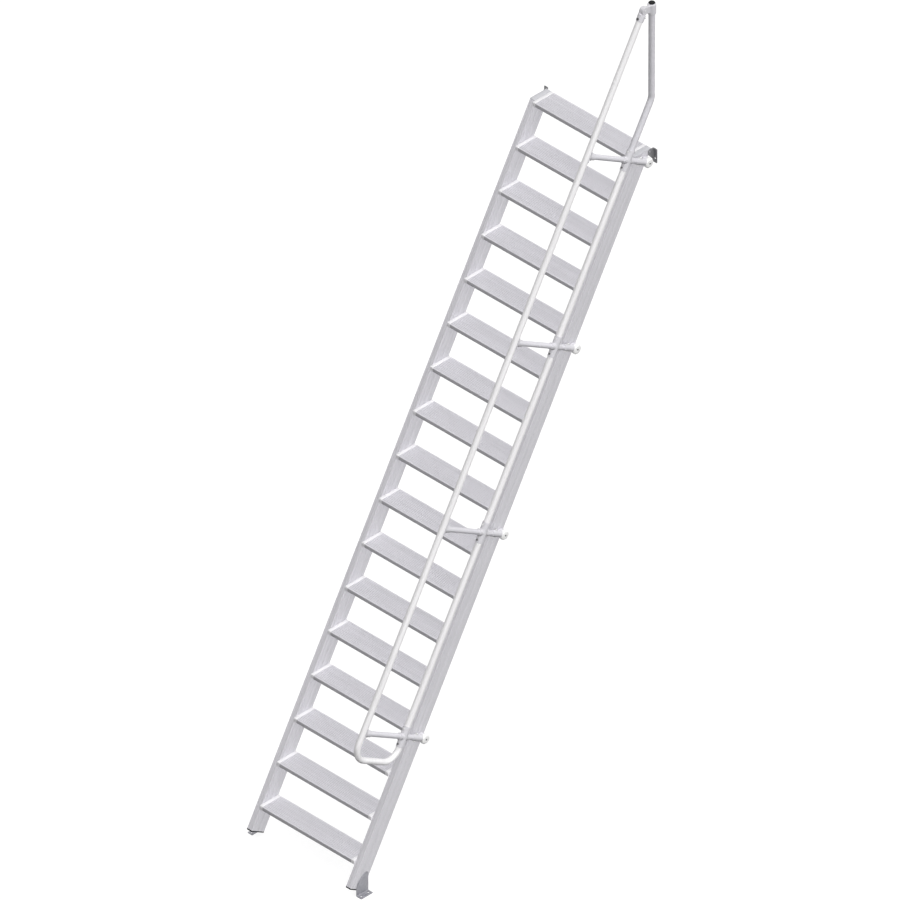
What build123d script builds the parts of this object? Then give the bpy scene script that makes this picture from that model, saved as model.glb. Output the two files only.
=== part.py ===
from build123d import *
from math import cos, radians, sin, tan
import os

# Industrial wall stair, 60 degrees steep, with a tube handrail on its right side.
# Millimetres and degrees. X runs across the stair, Y back towards the wall, Z up.
# The origin is on the underside of the right foot's flange, between its two anchor holes.

# Flight
pitch = 60.0
tread_count = 17
riser = 250.0
first_rise = 235.0
clear_width = 800.0

# Stringers: closed extruded section with shallow grooves along it
stringer_deep = 120.0
stringer_wide = 40.0
stringer_wall = 3.0
stringer_corner = 2.0
groove_wide = 3.6
groove_deep = 1.6
side_groove_count = 3
side_groove_pitch = 39.0
edge_groove_pitch = 20.0
heel_behind = 5.0
heel_above = 15.0
foot_cap_thick = 8.0
foot_cap_plug = 12.0
plug_gap = 0.3
top_cap_thick = 3.0

# Treads: ribbed extrusions with a boxed nose and heel, open underneath
tread_deep = 160.0
tread_high = 30.0
tread_wall = 3.0
nosing_out = 22.0
nose_box_deep = 28.0
heel_box_deep = 22.0
web_high = 16.0
web_foot = 14.0
rib_count = 12
rib_pitch = 12.0
rib_wide = 5.0
rib_high = 1.5
nose_bevel = 4.0

# Tread brackets: smooth castings between each tread's end and the stringer
bracket_wide = 24.0
bracket_wall = 4.0
bracket_drop = 60.0
bracket_toe = 40.0
bracket_heel = 30.0

# Feet: steel angles on the stringers' outer faces
foot_long = 98.0
foot_high = 143.0
foot_nose = 56.0
foot_shoulder = 96.0
foot_shoulder_in = 15.0
foot_top_long = 28.0
foot_out = 44.0
foot_thick = 5.0
foot_round = 12.0
anchor_out = 24.0
anchor_spacing = 60.0
anchor_hole = 13.0

# Wall brackets: steel angles at the top of the outer faces
wall_gap = 18.0
wall_plate_long = 46.0
wall_plate_high = 80.0
wall_tail_high = 34.0
wall_flange_high = 100.0
wall_flange_out = 35.0
wall_thick = 5.0
wall_round = 10.0
wall_hole = 12.0
wall_hole_out = 20.0
wall_hole_up = 31.0
wall_drop = 3.0

# Handrail tubes
rail_tube = 40.0
rail_wall = 2.0
rail_offset = 24.0
knee_out = 93.0
hand_out = 486.0
bend_radius = 100.0
bend_below_post = 173.0
kink_above_post = 407.0
post_tube = 34.0
post_wall = 3.0
post_count = 4
head_to_post = 84.0
post_spacing = 1217.0
low_post_spacing = 1340.0

# Tube fittings
fit_gap = 0.2
fit_wall = 4.0
sleeve_long = 136.0
branch_long = 46.0
saddle_long = 70.0
saddle_socket_long = 40.0
stop_gap = 2.0
foot_eye = 60.0
foot_eye_high = 46.0
foot_eye_bevel = 9.0
foot_eye_in = 30.0
foot_socket_reach = 100.0
foot_post_end = 66.0

# Top connector between the handrail and the upright
clamp_reach = 69.0
clamp_wall = 6.0
clamp_high = 68.0
clamp_rim = 4.0
upright_past_eye = 21.0
knuckle = 50.0
knuckle_half = 15.0
socket_long = 42.0
socket_to_eye = 30.0
socket_neck = 34.0
post_cap_high = 8.0
post_cap_bevel = 4.0
post_cap_plug = 20.0

os.makedirs("parts", exist_ok=True)


def keep(piece, name):
    """Label one finished piece and write it as its own file."""
    piece.part.label = name
    export_step(piece.part, f"parts/{name}.step")


# Lines that the whole stair hangs on
slope = radians(pitch)
outer_x = -anchor_out
inner_x = outer_x - stringer_wide
middle_x = inner_x - clear_width / 2
middle = Plane.YZ.offset(middle_x)
rail_x = outer_x + rail_offset
top_z = first_rise + riser * (tread_count - 1)

uphill = Vector(0, cos(slope), sin(slope))
outward = Vector(0, -sin(slope), cos(slope))
heel = Vector(0, heel_behind, heel_above)


def at(x, run, out):
    """Point at a distance up the slope and out from the stringer's back face."""
    return Vector(x, 0, 0) + heel + uphill * run + outward * out


def side_plane(x):
    """Plane in line with the flight: its x runs uphill and its y outward."""
    return Plane(origin=at(x, 0, 0), x_dir=uphill, z_dir=(1, 0, 0))


def cross_plane(x, run, out):
    """Plane square to the slope."""
    return Plane(origin=at(x, run, out), x_dir=(-1, 0, 0), z_dir=uphill)


def post_plane(x, run, out, way=1):
    """Plane square to a rail post, facing outward, or back towards the stringer with way=-1."""
    return Plane(origin=at(x, run, out), x_dir=(1, 0, 0), z_dir=outward * way)


def front_y(z):
    """Place of the stringers' front faces at a height."""
    corner = at(0, 0, stringer_deep)
    return corner.Y + (z - corner.Z) / tan(slope)


def back_y(z):
    """Place of the stringers' back faces at a height."""
    return heel.Y + (z - heel.Z) / tan(slope)


def tread_top(number):
    """Height of a tread's walking face, counted from 1 at the bottom."""
    return first_rise + riser * (number - 1)


def nosing_y(number):
    """Place of a tread's front edge."""
    return front_y(tread_top(number)) - nosing_out


def stringer_section(x, run):
    """Plane of the stringer's section at a distance up the slope."""
    return cross_plane(x, run, stringer_deep / 2)


stringer_x = (inner_x + outer_x) / 2
hollow_wide = stringer_wide - 2 * stringer_wall
hollow_deep = stringer_deep - 2 * stringer_wall
stringer_run = (top_z - heel_above) / sin(slope) + stringer_deep

# Stringers
with BuildPart() as stringer_right:
    with BuildSketch(stringer_section(stringer_x, foot_cap_thick)) as section:
        Rectangle(stringer_wide, stringer_deep)
        fillet(section.vertices(), stringer_corner)
        Rectangle(hollow_wide, hollow_deep, mode=Mode.SUBTRACT)
        with GridLocations(stringer_wide - groove_deep, side_groove_pitch, 2, side_groove_count):
            Rectangle(groove_deep, groove_wide, mode=Mode.SUBTRACT)
        with GridLocations(edge_groove_pitch, stringer_deep - groove_deep, 2, 2):
            Rectangle(groove_wide, groove_deep, mode=Mode.SUBTRACT)
    extrude(amount=stringer_run)
    split(bisect_by=Plane.XY.offset(top_z - top_cap_thick), keep=Keep.BOTTOM)
keep(stringer_right, "stringer_right")

with BuildPart() as stringer_left:
    mirror(stringer_right.part, about=middle)
keep(stringer_left, "stringer_left")

# Plastic caps in the stringers' lower ends
with BuildPart() as bottom_caps:
    with BuildSketch(stringer_section(stringer_x, 0)) as rim:
        Rectangle(stringer_wide, stringer_deep)
        fillet(rim.vertices(), stringer_corner)
    extrude(amount=foot_cap_thick)
    with BuildSketch(stringer_section(stringer_x, foot_cap_thick)):
        Rectangle(hollow_wide - 2 * plug_gap, hollow_deep - 2 * plug_gap)
    extrude(amount=foot_cap_plug)
    mirror(about=middle)
keep(bottom_caps, "bottom_caps")

# Flat caps on the stringers' level top ends
with BuildPart() as top_caps:
    cap_z = top_z - top_cap_thick
    cap_y = (front_y(cap_z) + back_y(cap_z)) / 2
    with BuildSketch(Plane.XY.offset(cap_z)):
        with Locations((stringer_x, cap_y)):
            Rectangle(stringer_wide, stringer_deep / sin(slope))
    extrude(amount=top_cap_thick)
    mirror(about=middle)
keep(top_caps, "top_caps")

# Treads
tread_long = clear_width - 2 * bracket_wide
deck_z = -rib_high


def build_tread(number):
    """One ribbed tread: deck, boxed nose and heel, and a screw web between them."""
    plane = Plane(
        origin=(middle_x - tread_long / 2, nosing_y(number), tread_top(number)),
        x_dir=(0, 1, 0),
        z_dir=(1, 0, 0),
    )
    box_high = tread_high - rib_high
    with BuildPart() as tread:
        with BuildSketch(plane) as section:
            with Locations((0, deck_z)):
                Rectangle(tread_deep, tread_wall, align=(Align.MIN, Align.MAX))
                Rectangle(nose_box_deep, box_high, align=(Align.MIN, Align.MAX))
            with Locations((tread_deep, deck_z)):
                Rectangle(heel_box_deep, box_high, align=(Align.MAX, Align.MAX))
            with Locations((tread_deep / 2, deck_z)):
                Rectangle(tread_wall, web_high, align=(Align.CENTER, Align.MAX))
            with Locations((tread_deep / 2, deck_z - web_high)):
                Rectangle(web_foot, tread_wall, align=(Align.CENTER, Align.MIN))
            with Locations((tread_wall, deck_z - tread_wall)):
                Rectangle(
                    nose_box_deep - 2 * tread_wall,
                    box_high - 2 * tread_wall,
                    align=(Align.MIN, Align.MAX),
                    mode=Mode.SUBTRACT,
                )
            with Locations((tread_deep - tread_wall, deck_z - tread_wall)):
                Rectangle(
                    heel_box_deep - 2 * tread_wall,
                    box_high - 2 * tread_wall,
                    align=(Align.MAX, Align.MAX),
                    mode=Mode.SUBTRACT,
                )
            front_corners = section.vertices().group_by(Axis.Y)[0]
            chamfer(front_corners, nose_bevel)
            with Locations((tread_deep / 2, deck_z)):
                with GridLocations(rib_pitch, 0, rib_count, 1):
                    Rectangle(rib_wide, rib_high, align=(Align.CENTER, Align.MIN))
        extrude(amount=tread_long)
    return tread


for number in range(1, tread_count + 1):
    keep(build_tread(number), f"tread_{number:02d}")

# Tread brackets
with BuildPart() as brackets_right:
    for number in range(1, tread_count + 1):
        nose = Plane(
            origin=(inner_x - bracket_wide, nosing_y(number), tread_top(number)),
            x_dir=(0, 1, 0),
            z_dir=(1, 0, 0),
        )
        with BuildSketch(nose) as block:
            Rectangle(tread_deep, tread_high, align=(Align.MIN, Align.MAX))
            chamfer(block.vertices().group_by(Axis.Y)[0], nose_bevel)
        extrude(amount=bracket_wide)
        with BuildSketch(nose.offset(bracket_wall)):
            with Locations((bracket_wall, -bracket_wall)):
                Rectangle(
                    tread_deep - 2 * bracket_wall,
                    tread_high,
                    align=(Align.MIN, Align.MAX),
                )
        extrude(amount=bracket_wide - 2 * bracket_wall, mode=Mode.SUBTRACT)
        with BuildSketch(nose.offset(bracket_wide - bracket_wall)):
            with BuildLine():
                Polyline(
                    (nose_bevel, -tread_high),
                    (bracket_toe, -bracket_drop),
                    (tread_deep - bracket_heel, -bracket_drop),
                    (tread_deep, -tread_high),
                    close=True,
                )
            make_face()
        extrude(amount=bracket_wall)
keep(brackets_right, "tread_brackets_right")

with BuildPart() as brackets_left:
    mirror(brackets_right.part, about=middle)
keep(brackets_left, "tread_brackets_left")

# Feet
with BuildPart() as foot_right:
    foot_side = Plane(origin=(outer_x, -foot_long / 2, 0), x_dir=(0, 1, 0), z_dir=(1, 0, 0))
    with BuildSketch(foot_side) as plate:
        with BuildLine():
            Polyline(
                (0, 0),
                (foot_long, 0),
                (foot_long, foot_high),
                (foot_long - foot_top_long, foot_high),
                (foot_shoulder_in, foot_shoulder),
                (0, foot_nose),
                close=True,
            )
        make_face()
        fillet(plate.vertices().group_by(Axis.Y)[-1], foot_round)
    extrude(amount=foot_thick)
    with BuildSketch(Plane.XY):
        with Locations((outer_x, 0)):
            Rectangle(foot_out, foot_long, align=(Align.MIN, Align.CENTER))
        with GridLocations(0, anchor_spacing, 1, 2):
            Circle(anchor_hole / 2, mode=Mode.SUBTRACT)
    extrude(amount=foot_thick)
keep(foot_right, "foot_bracket_right")

with BuildPart() as foot_left:
    mirror(foot_right.part, about=middle)
keep(foot_left, "foot_bracket_left")

# Wall brackets
wall_y = back_y(top_z) + wall_gap
wall_top = top_z - wall_drop
with BuildPart() as wall_right:
    wall_side = Plane(origin=(outer_x, wall_y, wall_top), x_dir=(0, -1, 0), z_dir=(-1, 0, 0))
    with BuildSketch(wall_side) as gusset:
        with BuildLine():
            Polyline(
                (0, 0),
                (wall_plate_long, 0),
                (wall_plate_long, -wall_tail_high),
                (0, -wall_plate_high),
                close=True,
            )
        make_face()
        fillet(gusset.vertices().group_by(Axis.X)[-1], wall_round)
    extrude(amount=-wall_thick)
    back_face = Plane(origin=(outer_x, wall_y, wall_top), x_dir=(1, 0, 0), z_dir=(0, -1, 0))
    with BuildSketch(back_face):
        Rectangle(wall_flange_out, wall_flange_high, align=(Align.MIN, Align.MAX))
        with Locations((wall_hole_out, wall_hole_up - wall_flange_high)):
            Circle(wall_hole / 2, mode=Mode.SUBTRACT)
    extrude(amount=wall_thick)
keep(wall_right, "wall_bracket_right")

with BuildPart() as wall_left:
    mirror(wall_right.part, about=middle)
keep(wall_left, "wall_bracket_left")

# Rail lines, counted out from the stringers' back faces, and posts, counted down from their head
knee_line = stringer_deep + knee_out
hand_line = stringer_deep + hand_out
top_post_run = (top_z - heel_above) / sin(slope) - head_to_post
post_runs = [top_post_run - post_spacing * number for number in range(post_count - 1)]
low_post_run = post_runs[-1] - low_post_spacing
post_runs.append(low_post_run)
bend_run = low_post_run - bend_below_post
upright_kink = at(rail_x, top_post_run + kink_above_post, knee_line)
eye_y = upright_kink.Y - clamp_reach
eye_run = (eye_y - heel.Y + hand_line * sin(slope)) / cos(slope)
eye = at(rail_x, eye_run, hand_line)
hand_top_run = eye_run - socket_to_eye

rail_bore = rail_tube / 2 + fit_gap
sleeve_radius = rail_bore + fit_wall
post_bore = post_tube / 2 + fit_gap
branch_radius = post_bore + fit_wall
post_stop = sleeve_radius + stop_gap


def tube_section(plane, tube, wall):
    """Ring of a round tube on a plane."""
    with BuildSketch(plane) as ring:
        Circle(tube / 2)
        Circle(tube / 2 - wall, mode=Mode.SUBTRACT)
    return ring.sketch


# Handrail: one tube, bent back at its foot to meet the knee rail's line
with BuildPart() as handrail:
    with BuildLine(side_plane(rail_x)) as route:
        FilletPolyline(
            (hand_top_run, hand_line),
            (bend_run, hand_line),
            (bend_run, knee_line),
            (low_post_run, knee_line),
            radius=bend_radius,
        )
    hand_end = tube_section(cross_plane(rail_x, hand_top_run, hand_line), rail_tube, rail_wall)
    sweep(sections=hand_end, path=route.wires()[0])
keep(handrail, "handrail")

# Knee rail, butted against its neighbours inside the end sleeves
knee_foot_run = low_post_run + stop_gap
knee_head_run = top_post_run - stop_gap
with BuildPart() as knee_rail:
    knee_end = tube_section(cross_plane(rail_x, knee_foot_run, knee_line), rail_tube, rail_wall)
    extrude(knee_end, amount=knee_head_run - knee_foot_run)
keep(knee_rail, "knee_rail")

# Upright: carries on from the knee rail, then turns to stand vertical
upright_foot_run = top_post_run + stop_gap
upright_foot = at(rail_x, upright_foot_run, knee_line)
upright_top = eye.Z + upright_past_eye
with BuildPart() as upright:
    with BuildLine(Plane.YZ.offset(rail_x)) as climb:
        FilletPolyline(
            (upright_foot.Y, upright_foot.Z),
            (upright_kink.Y, upright_kink.Z),
            (upright_kink.Y, upright_top),
            radius=bend_radius,
        )
    upright_end = tube_section(
        cross_plane(rail_x, upright_foot_run, knee_line), rail_tube, rail_wall
    )
    sweep(sections=upright_end, path=climb.wires()[0])
keep(upright, "top_upright")

with BuildPart() as upright_cap:
    with BuildSketch(Plane(origin=(rail_x, upright_kink.Y, upright_top))):
        Circle(rail_tube / 2)
    extrude(amount=post_cap_high)
    chamfer(upright_cap.edges().sort_by(Axis.Z)[-1], post_cap_bevel)
    with BuildSketch(Plane(origin=(rail_x, upright_kink.Y, upright_top))):
        Circle(rail_tube / 2 - rail_wall - fit_gap)
    extrude(amount=-post_cap_plug)
keep(upright_cap, "top_upright_cap")

# Rail posts, from the lowest up: a lower and an upper length of tube, parted by the knee rail
lower_top = knee_line - post_stop
upper_foot = knee_line + post_stop
upper_top = hand_line - post_stop
for number, run in enumerate(reversed(post_runs), start=1):
    with BuildPart() as rail_post:
        lower_end = tube_section(post_plane(rail_x, run, foot_post_end), post_tube, post_wall)
        extrude(lower_end, amount=lower_top - foot_post_end)
        upper_end = tube_section(post_plane(rail_x, run, upper_foot), post_tube, post_wall)
        extrude(upper_end, amount=upper_top - upper_foot)
    keep(rail_post, f"rail_post_{number}")

# Cross fittings: a sleeve on the knee rail with a socket to each side for the posts
with BuildPart() as cross_fittings:
    for run in post_runs:
        with BuildSketch(cross_plane(rail_x, run, knee_line)):
            Circle(sleeve_radius)
        extrude(amount=sleeve_long / 2, both=True)
        with BuildSketch(post_plane(rail_x, run, knee_line)):
            Circle(branch_radius)
        extrude(amount=branch_long, both=True)
        with BuildSketch(cross_plane(rail_x, run, knee_line)):
            Circle(rail_bore)
        extrude(amount=sleeve_long / 2, both=True, mode=Mode.SUBTRACT)
        for way in (1, -1):
            with BuildSketch(post_plane(rail_x, run, knee_line + way * sleeve_radius, way)):
                Circle(post_bore)
            extrude(amount=branch_long, mode=Mode.SUBTRACT)
keep(cross_fittings, "cross_fittings")

# Saddles: a half shell behind the handrail with a socket for the post
with BuildPart() as saddles:
    for run in post_runs:
        with BuildSketch(cross_plane(rail_x, run, hand_line)):
            Circle(sleeve_radius)
            with Locations((0, sleeve_radius / 2)):
                Rectangle(2 * sleeve_radius, sleeve_radius, mode=Mode.SUBTRACT)
        extrude(amount=saddle_long / 2, both=True)
        with BuildSketch(post_plane(rail_x, run, hand_line, -1)):
            Circle(branch_radius)
        extrude(amount=sleeve_radius + saddle_socket_long)
        with BuildSketch(cross_plane(rail_x, run, hand_line)):
            Circle(rail_bore)
        extrude(amount=saddle_long / 2, both=True, mode=Mode.SUBTRACT)
        with BuildSketch(post_plane(rail_x, run, hand_line - sleeve_radius, -1)):
            Circle(post_bore)
        extrude(amount=saddle_socket_long, mode=Mode.SUBTRACT)
keep(saddles, "rail_saddles")

# Post feet: a round boss bolted to the stringer with a socket for the post
with BuildPart() as post_feet:
    for run in post_runs:
        with BuildSketch(Plane(origin=at(outer_x, run, foot_eye_in), x_dir=uphill, z_dir=(1, 0, 0))):
            Circle(foot_eye / 2)
        extrude(amount=foot_eye_high)
        chamfer(post_feet.edges(Select.LAST).sort_by(Axis.X)[-1], foot_eye_bevel)
        with BuildSketch(post_plane(rail_x, run, foot_eye_in)):
            Circle(branch_radius)
        extrude(amount=foot_socket_reach)
        with BuildSketch(post_plane(rail_x, run, foot_post_end - stop_gap)):
            Circle(post_bore)
        extrude(amount=foot_socket_reach, mode=Mode.SUBTRACT)
keep(post_feet, "post_feet")

# Top connector: a clamp round the upright and a socket on the handrail's end, which meet in a
# knuckle of two eyes side by side
clamp_top = Plane(origin=(rail_x, upright_kink.Y, upright_top))
with BuildPart() as clamp:
    with BuildSketch(clamp_top):
        Circle(rail_bore + clamp_wall)
    extrude(amount=-clamp_high)
    knuckle_plane = Plane(origin=eye, x_dir=(0, 1, 0), z_dir=(1, 0, 0))
    with BuildSketch(knuckle_plane):
        Circle(knuckle / 2)
        with BuildLine():
            Polyline(
                (0, knuckle / 2),
                (clamp_reach, upright_past_eye - clamp_rim),
                (clamp_reach, upright_past_eye - clamp_high + clamp_rim),
                (0, -knuckle / 2),
                close=True,
            )
        make_face()
    extrude(amount=knuckle_half, both=True)
    with BuildSketch(knuckle_plane):
        Circle(knuckle / 2 + stop_gap)
    extrude(amount=-knuckle_half, mode=Mode.SUBTRACT)
    with BuildSketch(clamp_top):
        Circle(rail_bore)
    extrude(amount=-clamp_high, mode=Mode.SUBTRACT)
keep(clamp, "top_clamp")

socket_foot = cross_plane(rail_x, hand_top_run - socket_long, hand_line)
with BuildPart() as socket:
    with BuildSketch(Plane(origin=eye, x_dir=uphill, z_dir=(-1, 0, 0))):
        Circle(knuckle / 2)
        Rectangle(socket_to_eye, socket_neck, align=(Align.MAX, Align.CENTER))
    extrude(amount=knuckle_half)
    with BuildSketch(socket_foot):
        Circle(sleeve_radius)
    extrude(amount=socket_long + fit_wall)
    with BuildSketch(socket_foot):
        Circle(rail_bore)
    extrude(amount=socket_long, mode=Mode.SUBTRACT)
keep(socket, "top_socket")
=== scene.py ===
"""Looks of an industrial wall stair: its seen pieces, finishes, light and camera.

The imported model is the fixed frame. The classes build every visible piece in metres on the
same lines as that frame: X runs across the stair, Y back towards the wall and Z up.
"""

import logging
import math
from dataclasses import dataclass
from enum import Enum
from itertools import product
from typing import Callable, Mapping, Protocol, Sequence

import bmesh
import bpy
import numpy as np
from mathutils import Matrix, Vector


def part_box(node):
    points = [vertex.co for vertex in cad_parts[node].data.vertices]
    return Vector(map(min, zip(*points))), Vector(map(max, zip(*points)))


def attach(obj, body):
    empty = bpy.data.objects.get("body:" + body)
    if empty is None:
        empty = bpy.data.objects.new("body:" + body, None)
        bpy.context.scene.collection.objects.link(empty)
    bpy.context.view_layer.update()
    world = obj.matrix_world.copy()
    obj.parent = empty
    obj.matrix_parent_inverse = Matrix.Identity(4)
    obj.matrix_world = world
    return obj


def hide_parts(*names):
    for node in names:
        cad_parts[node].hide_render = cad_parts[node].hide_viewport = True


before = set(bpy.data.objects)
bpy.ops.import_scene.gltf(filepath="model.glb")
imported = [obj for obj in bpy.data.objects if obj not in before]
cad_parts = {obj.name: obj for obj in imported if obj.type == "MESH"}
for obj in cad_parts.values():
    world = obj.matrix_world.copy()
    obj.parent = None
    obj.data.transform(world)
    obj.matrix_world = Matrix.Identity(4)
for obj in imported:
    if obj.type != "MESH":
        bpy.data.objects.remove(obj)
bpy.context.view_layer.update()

log = logging.getLogger("stair")

Loop = list[tuple[float, float]]
Ring = list[bmesh.types.BMVert]
Rise = float | Callable[[float, float], float]
Colour = tuple[float, float, float]
Setting = object
X_AXIS = Vector((1.0, 0.0, 0.0))
Y_AXIS = Vector((0.0, 1.0, 0.0))
Z_AXIS = Vector((0.0, 0.0, 1.0))
FULL_TURN = 2.0 * math.pi
SMOOTH_ANGLE = math.radians(32.0)
STRAIGHT = math.radians(89.9)
WELD = 1e-7


class Slot(Enum):
    """The record's material slots."""

    STRINGER = "stringer_aluminium"
    TREAD = "tread_aluminium"
    CAST = "cast_aluminium"
    FITTING = "fitting_aluminium"
    RAIL = "rail_aluminium"
    POST = "post_aluminium"
    GALVANISED = "galvanised_steel"
    DARK_STEEL = "dark_steel"
    PLASTIC = "black_plastic"


class Cut(Enum):
    """How one closed mesh works on another."""

    JOIN = "UNION"
    TAKE_OUT = "DIFFERENCE"


class Finish(Enum):
    """The finishes on this stair."""

    STRINGER = "stringer_extrusion"
    TREAD = "tread_extrusion"
    BRACKET = "bracket_casting"
    # Lighter copy of the fittings' cast finish: a painted highlight on the post feet's domes.
    FOOT_HIGHLIGHT = "foot_casting"
    FITTING = "tube_fitting"
    RAIL = "rail_tube"
    POST = "post_tube"
    END_PLATE = "end_plate"
    GALVANISED = "galvanised_plate"
    WALL_PLATE = "wall_plate"
    PLASTIC = "black_plastic"
    BOLT = "plated_bolt"
    SCREW = "dark_screw"


@dataclass(frozen=True)
class Flight:
    """The lines that the whole stair hangs on.

    A place is given by x, by its run up the slope from the stringers' lower ends, and by how
    far it stands out from their back faces.
    """

    pitch: float = math.radians(60.0)
    tread_count: int = 17
    riser: float = 0.250
    first_rise: float = 0.235
    clear_width: float = 0.800
    stringer_deep: float = 0.120
    stringer_wide: float = 0.040
    heel_behind: float = 0.005
    heel_above: float = 0.015
    nosing_out: float = 0.022
    anchor_out: float = 0.024

    @property
    def outer_x(self) -> float:
        """The right stringer's outer face."""
        return -self.anchor_out

    @property
    def inner_x(self) -> float:
        """The right stringer's inner face."""
        return self.outer_x - self.stringer_wide

    @property
    def middle_x(self) -> float:
        """The stair's middle."""
        return self.inner_x - self.clear_width / 2

    @property
    def stringer_middles(self) -> tuple[float, float]:
        """The middles of the right stringer and of the left one."""
        middle = self.outer_x - self.stringer_wide / 2
        return middle, 2 * self.middle_x - middle

    @property
    def sides(self) -> tuple[tuple[str, Matrix], ...]:
        """Each side with what carries a form from the right side to it."""
        mirror = Matrix.Translation((2 * self.middle_x, 0, 0)) @ Matrix.Diagonal((-1, 1, 1, 1))
        return ("right", Matrix.Identity(4)), ("left", mirror)

    @property
    def top_z(self) -> float:
        """Height of the top tread and of the stringers' heads."""
        return self.first_rise + self.riser * (self.tread_count - 1)

    @property
    def uphill(self) -> Vector:
        """Direction up the slope."""
        return Vector((0.0, math.cos(self.pitch), math.sin(self.pitch)))

    @property
    def outward(self) -> Vector:
        """Direction square to the slope, away from the wall."""
        return Vector((0.0, -math.sin(self.pitch), math.cos(self.pitch)))

    def at(self, x: float, run: float, out: float) -> Vector:
        """Give a place on the flight.

        Args:
            x: Place across the stair.
            run: Distance up the slope.
            out: Distance out from the stringers' back faces.

        Returns:
            The point in the frame.
        """
        heel = Vector((x, self.heel_behind, self.heel_above))
        return heel + self.uphill * run + self.outward * out

    def lay(self, x: float, run: float, out: float) -> Matrix:
        """Place for a form drawn across, uphill and outward, as its own x, y and z."""
        return placing(self.at(x, run, out), X_AXIS, self.outward)

    def section(self, x: float, run: float) -> Matrix:
        """Place for a stringer's section, its x across and its y outward from the middle."""
        return placing(self.at(x, run, self.stringer_deep / 2), -X_AXIS, self.uphill)

    def tread_top(self, number: int) -> float:
        """Height of a tread's walking face, counted from 1 at the bottom."""
        return self.first_rise + self.riser * (number - 1)

    def front_y(self, z: float) -> float:
        """Place of the stringers' front faces at a height."""
        corner = self.at(0.0, 0.0, self.stringer_deep)
        return corner.y + (z - corner.z) / math.tan(self.pitch)

    def back_y(self, z: float) -> float:
        """Place of the stringers' back faces at a height."""
        return self.heel_behind + (z - self.heel_above) / math.tan(self.pitch)

    def nosing_y(self, number: int) -> float:
        """Place of a tread's front edge."""
        return self.front_y(self.tread_top(number)) - self.nosing_out


def placing(origin: Vector, x_dir: Vector, z_dir: Vector) -> Matrix:
    """Make a place from its origin and two of its directions.

    Args:
        origin: Where the place's own zero is.
        x_dir: Direction of its x.
        z_dir: Direction of its z, square to x_dir.

    Returns:
        The matrix that carries drawn points there.
    """
    x_dir = x_dir.normalized()
    z_dir = z_dir.normalized()
    turn = Matrix((x_dir, z_dir.cross(x_dir), z_dir)).transposed()
    return Matrix.Translation(origin) @ turn.to_4x4()


def circle(radius: float, sides: int, middle: tuple[float, float] = (0.0, 0.0)) -> Loop:
    """Points of a circle, counted against the clock."""
    steps = [FULL_TURN * step / sides for step in range(sides)]
    return [(middle[0] + radius * math.cos(a), middle[1] + radius * math.sin(a)) for a in steps]


def rectangle(wide: float, high: float, low: tuple[float, float] | None = None) -> Loop:
    """Corners of a rectangle, about its middle or from its lower left corner.

    Args:
        wide: Its width.
        high: Its height.
        low: Its lower left corner, or None for one about zero.

    Returns:
        The four corners in order.
    """
    left, bottom = low if low is not None else (-wide / 2, -high / 2)
    right, top = left + wide, bottom + high
    return [(left, bottom), (right, bottom), (right, top), (left, top)]


def rounded(
    corners: Sequence[Sequence[float]],
    radii: float | Sequence[float],
    steps: int = 6,
    closed: bool = True,
) -> Loop:
    """Round the corners of an outline or a route.

    Args:
        corners: Its corners in order.
        radii: One radius for all corners, or one for each.
        steps: Faces in each rounded corner.
        closed: False for a route, whose two ends stay as they are.

    Returns:
        The points of the outline with its arcs.
    """
    count = len(corners)
    each = [radii] * count if isinstance(radii, float) else list(radii)
    points: Loop = []
    for number, corner in enumerate(corners):
        here = Vector(corner)
        is_end = not closed and number in (0, count - 1)
        before = (Vector(corners[number - 1]) - here).normalized()
        after = (Vector(corners[(number + 1) % count]) - here).normalized()
        half = before.angle(after) / 2
        if is_end or each[number] <= 0.0 or half > STRAIGHT:
            points.append((here.x, here.y))
            continue
        centre = here + (before + after).normalized() * each[number] / math.sin(half)
        start = here + before * each[number] / math.tan(half) - centre
        end = here + after * each[number] / math.tan(half) - centre
        turn = start.angle_signed(end)
        for step in range(steps + 1):
            spoke = Matrix.Rotation(-turn * step / steps, 2) @ start
            points.append((centre.x + spoke.x, centre.y + spoke.y))
    return points


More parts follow.
